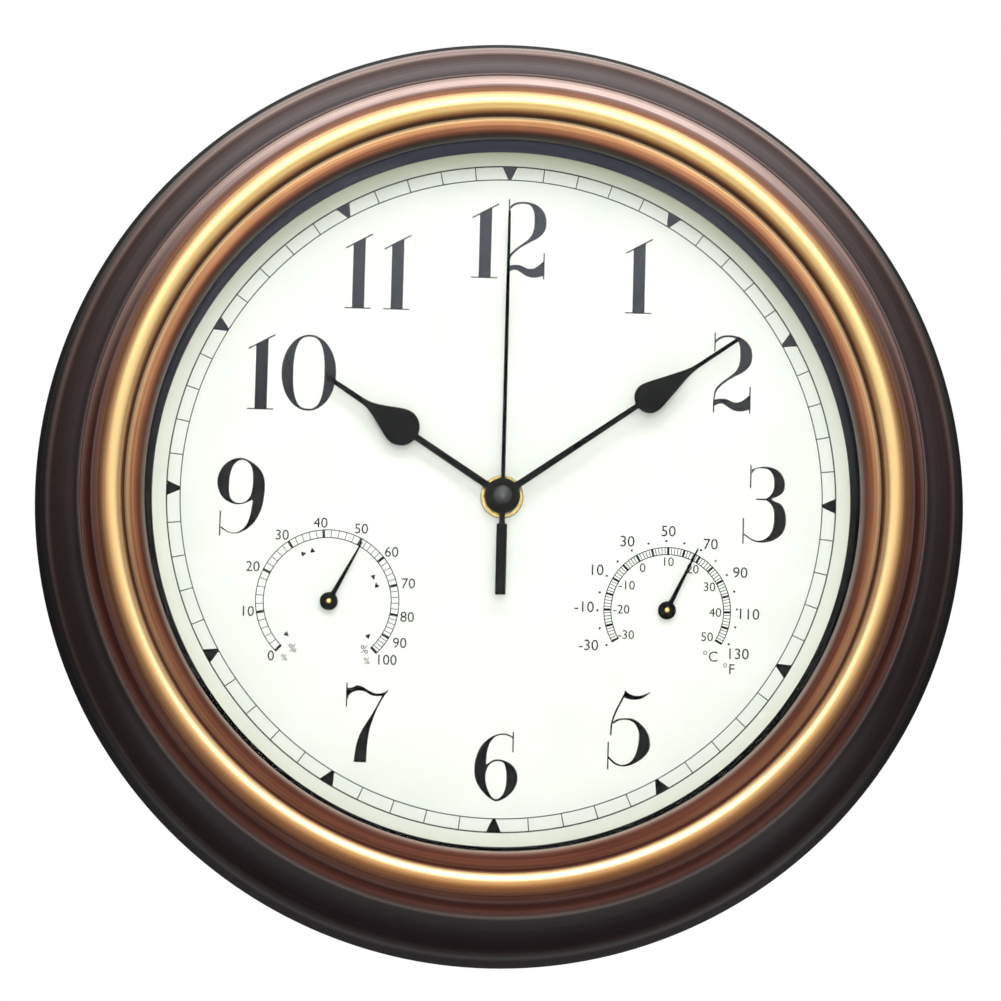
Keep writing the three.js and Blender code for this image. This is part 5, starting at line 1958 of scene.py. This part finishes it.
@dataclass
class SmallPointer:
    """A pointer on one of the small scales, with the brass end of its arbor."""

    name: str
    body: Body
    pivot: Point
    angle: float
    length: float
    boss: float = 2.9
    dome: float = 0.45
    bore: float = 0.85
    waist: float = 0.55
    tip: float = 0.22
    thickness: float = 0.4
    bevel: float = 0.05

    def build(self) -> None:
        """Builds the pointer and the arbor."""
        node = f"{self.name}_pointer"
        _, rear, front = extent(node)
        rear_face = (rear + front - self.thickness) / 2
        edge = ((self.bore, 0.0), (self.waist, self.length / 2), (self.tip, self.length - 0.3))
        needle = pressed([polygon(*mirrored(edge, (0.0, self.length)))], rear_face,
                         rear_face + self.thickness, self.bevel)
        boss = lathe(eased([
            (self.bore, rear, 0.0), (self.boss, rear, 0.1), (self.boss, front - 0.2, 0.25),
            (self.boss - self.dome, front, 0.3), (self.bore, front, 0.0),
        ]), 48)
        mesh = turned_about(joined([needle, boss]), self.angle, self.pivot)
        add_piece(f"{self.name}_needle", mesh, HAND_PAINT, [node], self.body)
        _, rear, tip = extent(f"{self.name}_arbor")
        pin = lathe(eased([
            (0.0, rear, 0.0), (0.6, rear, 0.1), (0.6, tip - 0.5, 0.0), (0.82, tip - 0.45, 0.1),
            (0.82, tip - 0.2, 0.15), (0.4, tip, 0.15), (0.0, tip, 0.0),
        ]), 32, self.pivot)
        finish = TurnedFinish(
            f"{self.name}_pin_brass", (222, 180, 96), (182, 140, 66), 0.28, metallic=0.95,
            bump=0.006, centre=self.pivot, pitch=0.06,
        )
        add_piece(f"{self.name}_pin", pin, finish, [f"{self.name}_arbor"], self.body)


@dataclass
class CentreStack:
    """The brass bush, nut and washer that clamp the movement to the dial."""

    washer_radius: float = 7.0
    washer_edges: Four = (0.1, 0.15, 0.25, 0.2)
    bush_hole: float = 4.3

    def build(self) -> None:
        """Builds the washer and refines the nut and the bush."""
        _, rear, front = extent("bush_washer")
        washer = lathe(collar(
            self.bush_hole, self.washer_radius, rear, front, self.washer_edges
        ), 96)
        add_piece("brass_washer", washer, BRASS, ["bush_washer"])
        refine_node("bush_nut", BRASS, 0.25)
        refine_node("centre_bush", BRASS, 0.12)
        refine_node("rubber_washer", RUBBER, 0.1)


@dataclass
class RearCover:
    """The back cover with its screws, seals, hanger and vents."""

    screw_radius: float = 3.0
    shank_radius: float = 1.2
    head_height: float = 1.3
    recess_width: float = 0.75
    recess_length: float = 3.4
    recess_depth: float = 0.85
    rib_height: float = 0.8
    rib_width: float = 1.1
    rib_arcs: tuple[tuple[float, float, float], ...] = (
        (134.0, 0.0, 360.0), (90.0, 18.0, 342.0), (87.0, 19.0, 341.0),
    )
    mark_height: float = 0.35
    knob_centre: Point = (0.0, 16.4)
    turn_radius: float = 7.4
    turn_angles: Point = (-150.0, 130.0)
    turn_width: float = 0.5
    arrowhead: Outline = polygon((-1.3, -0.9), (1.3, -0.9), (0.0, 1.6))
    arrow_angle: float = 138.0
    arrow_turn: float = 232.0
    sign_bar: Outline = stroke((0.0, -1.5), (0.0, 1.5), 0.6)
    sign_across: float = 19.5
    sign_height: float = -5.6

    def screw_head(self) -> Mesh:
        """Makes a domed screw with a cross recess, on the clock's axis.

        Returns:
            Its mesh.
        """
        _, rear, tip = extent("cover_screw_1")
        under = rear + self.head_height
        body = in_scene("screw", lathe(eased([
            (0.0, rear, 0.0), (1.9, rear + 0.05, 0.6), (self.screw_radius, rear + 0.75, 0.25),
            (self.screw_radius, under, 0.1), (self.shank_radius, under, 0.0),
            (self.shank_radius, tip - 1.0, 0.0), (0.3, tip, 0.0), (0.0, tip, 0.0),
        ], 5), 40))
        half = self.recess_length / 2
        cutters = []
        for turn in (0.0, 90.0):
            slot = stroke((-half, 0.0), (half, 0.0), self.recess_width)
            bar = pressed([slot], rear - 1.0, rear + self.recess_depth)
            cutters.append(in_scene("recess", turned_about(bar, turn)))
            modifier = body.modifiers.new("recess", "BOOLEAN")
            modifier.operation = "DIFFERENCE"
            modifier.object = cutters[-1]
            modifier.solver = "EXACT"
        made = evaluated(body)
        for holder in (body, *cutters):
            bpy.data.objects.remove(holder)
        return closed(made)

    def ribs(self) -> Mesh:
        """Makes the low round ribs on the cover's rear face.

        Returns:
            The ribs as one mesh.
        """
        rear = extent("back_cover")[1]
        span = (rear - self.rib_height, rear + self.rib_height)
        return joined([
            circle_band(radius, self.rib_width, *span) if end - start >= WHOLE_TURN
            else arc_band(radius, self.rib_width, start, end, *span)
            for radius, start, end in self.rib_arcs
        ])

    def marks(self) -> Mesh:
        """Makes the raised plus and minus by the battery and the turning arrow by the knob.

        Returns:
            The marks as one mesh.
        """
        rear = extent("movement_lid")[1]
        span = (rear - self.mark_height, rear + self.mark_height)
        head = pressed([self.arrowhead], *span)
        arrow_place = on_circle(self.turn_radius, self.arrow_angle, self.knob_centre)
        shapes = [
            arc_band(self.turn_radius, self.turn_width, *self.turn_angles, *span,
                     centre=self.knob_centre),
            turned_about(head, self.arrow_turn, arrow_place),
        ]
        for across, turns in ((self.sign_across, (0.0, 90.0)), (-self.sign_across, (90.0,))):
            for turn in turns:
                bar = pressed([self.sign_bar], *span)
                shapes.append(turned_about(bar, turn, (across, self.sign_height)))
        return joined(shapes)

    def build(self) -> None:
        """Builds the pieces at the rear."""
        refine_node("back_cover", COVER_PLASTIC)
        add_piece("cover_ribs", self.ribs(), COVER_PLASTIC)
        add_piece("lid_marks", self.marks(), MARK_PAINT)
        screws = copies_on_circle(self.screw_head(), STEEL)
        names = [f"cover_screw_{i}" for i in range(1, 7)]
        add_piece("cover_screws", screws, STEEL, names)
        refine_node("hanger_plate", STEEL, 0.2)
        for index in (1, 2):
            refine_node(f"hanger_rivet_{index}", STEEL, 0.25)
        refine_node("movement_seal", RUBBER, 0.15)
        refine_node("back_seal", RUBBER, 0.12)


@dataclass
class Movement:
    """The quartz movement, its gears, its coil and the two cups of the small instruments."""

    inside: Mapping[Finish, tuple[str, ...]] = field(default_factory=lambda: {
        WHITE_PLASTIC: ("second_wheel", "centre_wheel", "hour_wheel", "third_wheel",
                        "intermediate_wheel", "motion_wheel", "train_plate", "coil_bobbin"),
        PLASTIC: ("rotor", "control_chip"),
        STEEL: ("quartz_crystal", "stator", "positive_contact", "negative_contact"),
        BOARD: ("circuit_board",),
        COPPER: ("coil_winding",),
        BIMETAL: ("hygrometer_coil", "thermometer_coil"),
    })

    def build(self) -> None:
        """Dresses the movement's outside and paints what is inside."""
        refine_node("movement_case", PLASTIC, 0.4)
        refine_node("movement_lid", PLASTIC, 0.25)
        refine_node("hygrometer_cup", WHITE_PLASTIC, 0.3)
        refine_node("thermometer_cup", WHITE_PLASTIC, 0.3)
        refine_node("setting_knob", PLASTIC, 0.12, Body.KNOB)
        for finish, nodes in self.inside.items():
            for node in nodes:
                paint_node(node, finish)


@dataclass
class PowerCell:
    """The battery in its bay, its plus end to the right."""

    end_gap: float = 1.2
    ledge: float = 0.25
    button_radius: float = 2.7

    def build(self) -> None:
        """Builds the battery lying along x."""
        low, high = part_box("battery")
        radius = (high.z - low.z) / 2 / MM
        start, end = low.x / MM, high.x / MM
        shoulder = end - self.end_gap
        crimp = start + self.ledge
        collar_end = shoulder - self.ledge
        profile = eased([
            (0.0, start, 0.0), (radius - 1.6, start, 0.2), (radius - 1.2, crimp, 0.2),
            (radius - 0.3, crimp, 0.3), (radius, start + 0.9, 0.3),
            (radius, shoulder - 0.8, 0.4), (radius - 0.8, shoulder, 0.4),
            (radius - 1.4, collar_end, 0.2), (self.button_radius + 0.2, collar_end, 0.2),
            (self.button_radius, shoulder + 0.3, 0.2), (self.button_radius, end, 0.35),
            (0.0, end, 0.0),
        ])
        mesh = lathe([(across, -along) for across, along in profile], 64)
        mesh.transform(Matrix.Rotation(-math.pi / 2, 4, "Z"))
        middle = (low + high) / 2
        mesh.transform(Matrix.Translation((0.0, middle.y, middle.z)))
        add_piece("power_cell", closed(mesh), WRAP, ["battery"], Body.CELL)


# Studio


@dataclass
class Studio:
    """The camera at the photograph's angle, the soft lamps, the pale floor and the background."""

    focal_pixels: float = 4400.0
    image_pixels: float = 1001.0
    sensor: float = 36.0
    distance: float = 1430.7
    tilt: tuple[float, float, float] = (-6.0, -1.8, 1.43)
    centre_shift: Point = (1.28, -3.27)
    dial_depth: float = 19.0
    floor_height: float = -0.45
    floor_size: float = 3.2
    aim: tuple[float, float, float] = (0.0, -0.02, 0.0)
    ambient: float = 0.15
    front_ambient: float = 0.25
    rear_ambient: float = 0.5
    side_shine: float = 0.1
    front_shine: float = 0.9
    top_shine: float = 2.7
    rear_shine: float = 0.5
    front_window: Point = (-0.25, 0.85)
    foot_window: Point = (-0.6, 0.0)
    foot_share: float = 0.3
    aside_window: Point = (0.35, 0.85)
    top_window: Point = (0.16, 0.5)
    top_lean: float = -0.6
    lean_window: Point = (0.1, 0.4)
    rear_window: Point = (0.85, 0.99)
    front_soft: Point = (0.2, 0.95)
    rear_soft: Point = (0.1, 0.6)
    lamps: tuple = (
        ("key", (0.05, -1.15, 0.9), (1.2, 0.6), 8.6, (255, 251, 249)),
        ("front", (0.0, -1.65, 0.1), (0.6, 0.6), 10.6, (255, 254, 252)),
        ("left_fill", (-1.3, -1.1, 0.3), (0.5, 1.0), 1.5),
        ("right_fill", (1.3, -1.1, 0.3), (0.5, 1.0), 1.5),
        ("rear", (0.5, 1.3, 0.8), (0.8, 0.8), 8.0),
    )

    def camera(self) -> None:
        """Sets the camera that the photograph was taken from."""
        rx, ry, rz = (math.radians(angle) for angle in self.tilt)
        turn = Matrix.Rotation(rx, 3, "X") @ Matrix.Rotation(ry, 3, "Y") @ Matrix.Rotation(rz, 3, "Z")
        scale = self.distance / self.focal_pixels
        offset = Vector((
            self.centre_shift[0] * scale, self.centre_shift[1] * scale, self.distance
        ))
        to_dial = Matrix(((1.0, 0.0, 0.0), (0.0, 0.0, -1.0), (0.0, 1.0, 0.0)))
        flip = Matrix.Diagonal((1.0, -1.0, -1.0))
        orientation = (flip @ turn @ to_dial).transposed()
        seat = -(turn.transposed() @ offset)
        place = Vector((seat.x, seat.z - self.dial_depth, -seat.y)) * MM
        data = bpy.data.cameras.new("photo_camera")
        data.sensor_width = self.sensor
        data.sensor_fit = "HORIZONTAL"
        data.lens = self.sensor * self.focal_pixels / self.image_pixels
        camera = in_scene("photo_camera", data)
        camera.matrix_world = Matrix.Translation(place) @ orientation.to_4x4()
        bpy.context.scene.camera = camera

    def lamp(self, name: str, place: Sequence[float], size: Point, power: float,
             colour: Colour = (255, 255, 255)) -> None:
        """Adds an area lamp that points at the clock and that metal doesn't mirror.

        Args:
            name: Its name.
            place: Where it stands, in metres.
            size: Its width and height.
            power: Its power.
            colour: Its colour.
        """
        data = bpy.data.lights.new(name, "AREA")
        data.shape = "RECTANGLE"
        data.size, data.size_y = size
        data.energy = power
        data.color = linear(colour)[:3]
        lamp = in_scene(name, data)
        lamp.visible_glossy = False
        lamp.location = place
        aim = Vector(self.aim) - Vector(place)
        lamp.rotation_euler = aim.to_track_quat("-Z", "Y").to_euler()

    def world(self) -> None:
        """Makes the background white, and the soft light around the clock plain."""
        world = bpy.data.worlds.new("studio_world")
        world.use_nodes = True
        bpy.context.scene.world = world
        graph = Graph(world.node_tree)
        ray = graph.add("ShaderNodeLightPath").outputs
        aside, forward, up = graph.axes(graph.add("ShaderNodeTexCoord").outputs["Generated"])
        toward = graph.product(forward, -1.0)
        front = graph.product(
            graph.window(toward, *self.front_window),
            graph.between(graph.window(up, *self.foot_window), self.foot_share, 1.0),
        )
        sides = graph.window(graph.math("ABSOLUTE", aside), *self.aside_window)
        leaning = graph.math("MULTIPLY_ADD", up, self.top_lean, forward)
        behind_top = graph.window(leaning, *self.lean_window)
        above = graph.product(graph.window(up, *self.top_window), graph.product(
            graph.between(sides, 1.0, 0.0), graph.between(behind_top, 1.0, 0.0)
        ))
        behind = graph.window(forward, *self.rear_window)
        glossy, soft = self.side_shine, self.ambient
        for share, strength in (
            (front, self.front_shine), (above, self.top_shine), (behind, self.rear_shine),
        ):
            glossy = graph.math("MULTIPLY_ADD", share, strength, glossy)
        for way, window, strength in (
            (toward, self.front_soft, self.front_ambient),
            (forward, self.rear_soft, self.rear_ambient),
        ):
            soft = graph.math("MULTIPLY_ADD", graph.window(way, *window), strength, soft)
        seen = graph.math("MAXIMUM", ray["Is Camera Ray"], ray["Is Transmission Ray"])
        shine = graph.product(ray["Is Glossy Ray"], glossy)
        others = graph.math("SUBTRACT", 1.0, graph.math("MAXIMUM", seen, ray["Is Glossy Ray"]))
        plain = graph.product(others, soft)
        level = graph.math("ADD", graph.math("MAXIMUM", seen, shine), plain)
        graph.fill(world.node_tree.nodes["Background"], {
            "Color": (1.0, 1.0, 1.0, 1.0), "Strength": level,
        })

    def floor(self) -> None:
        """Lays the pale floor under the clock."""
        half = self.floor_size / 2
        mesh = bpy.data.meshes.new("floor")
        corners = [(-half, -half), (half, -half), (half, half), (-half, half)]
        mesh.from_pydata([(x, y, self.floor_height) for x, y in corners], [], [(0, 1, 2, 3)])
        floor = in_scene("floor", mesh)
        finish = FloorFinish("pale_floor", (246, 246, 244), (242, 242, 240), 0.8, specular=0.1,
                             grain_size=3.0, drift_size=220.0, bump=0.05)
        mesh.materials.append(finish.material())

    def build(self) -> None:
        """Sets up the whole studio."""
        bpy.context.scene.view_settings.view_transform = "Standard"
        self.camera()
        self.world()
        self.floor()
        for lamp in self.lamps:
            self.lamp(*lamp)


def main() -> None:
    """Builds every sub-assembly in order."""
    logging.basicConfig(level=logging.INFO, format="%(name)s: %(message)s")
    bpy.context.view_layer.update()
    assemblies = (
        Studio(), RingFrame(), Glazing(), DialFace(), HUMIDITY_SCALE, TEMPERATURE_SCALE,
        HandSet(), SmallPointer("hygrometer", Body.HUMIDITY, HUMIDITY_PIVOT, 27.7, 22.2),
        SmallPointer("thermometer", Body.TEMPERATURE, TEMPERATURE_PIVOT, 25.5, 22.8),
        CentreStack(), RearCover(), Movement(), PowerCell(),
    )
    for assembly in assemblies:
        LOG.info("building %s", type(assembly).__name__)
        assembly.build()


if __name__ == "__main__":
    main()
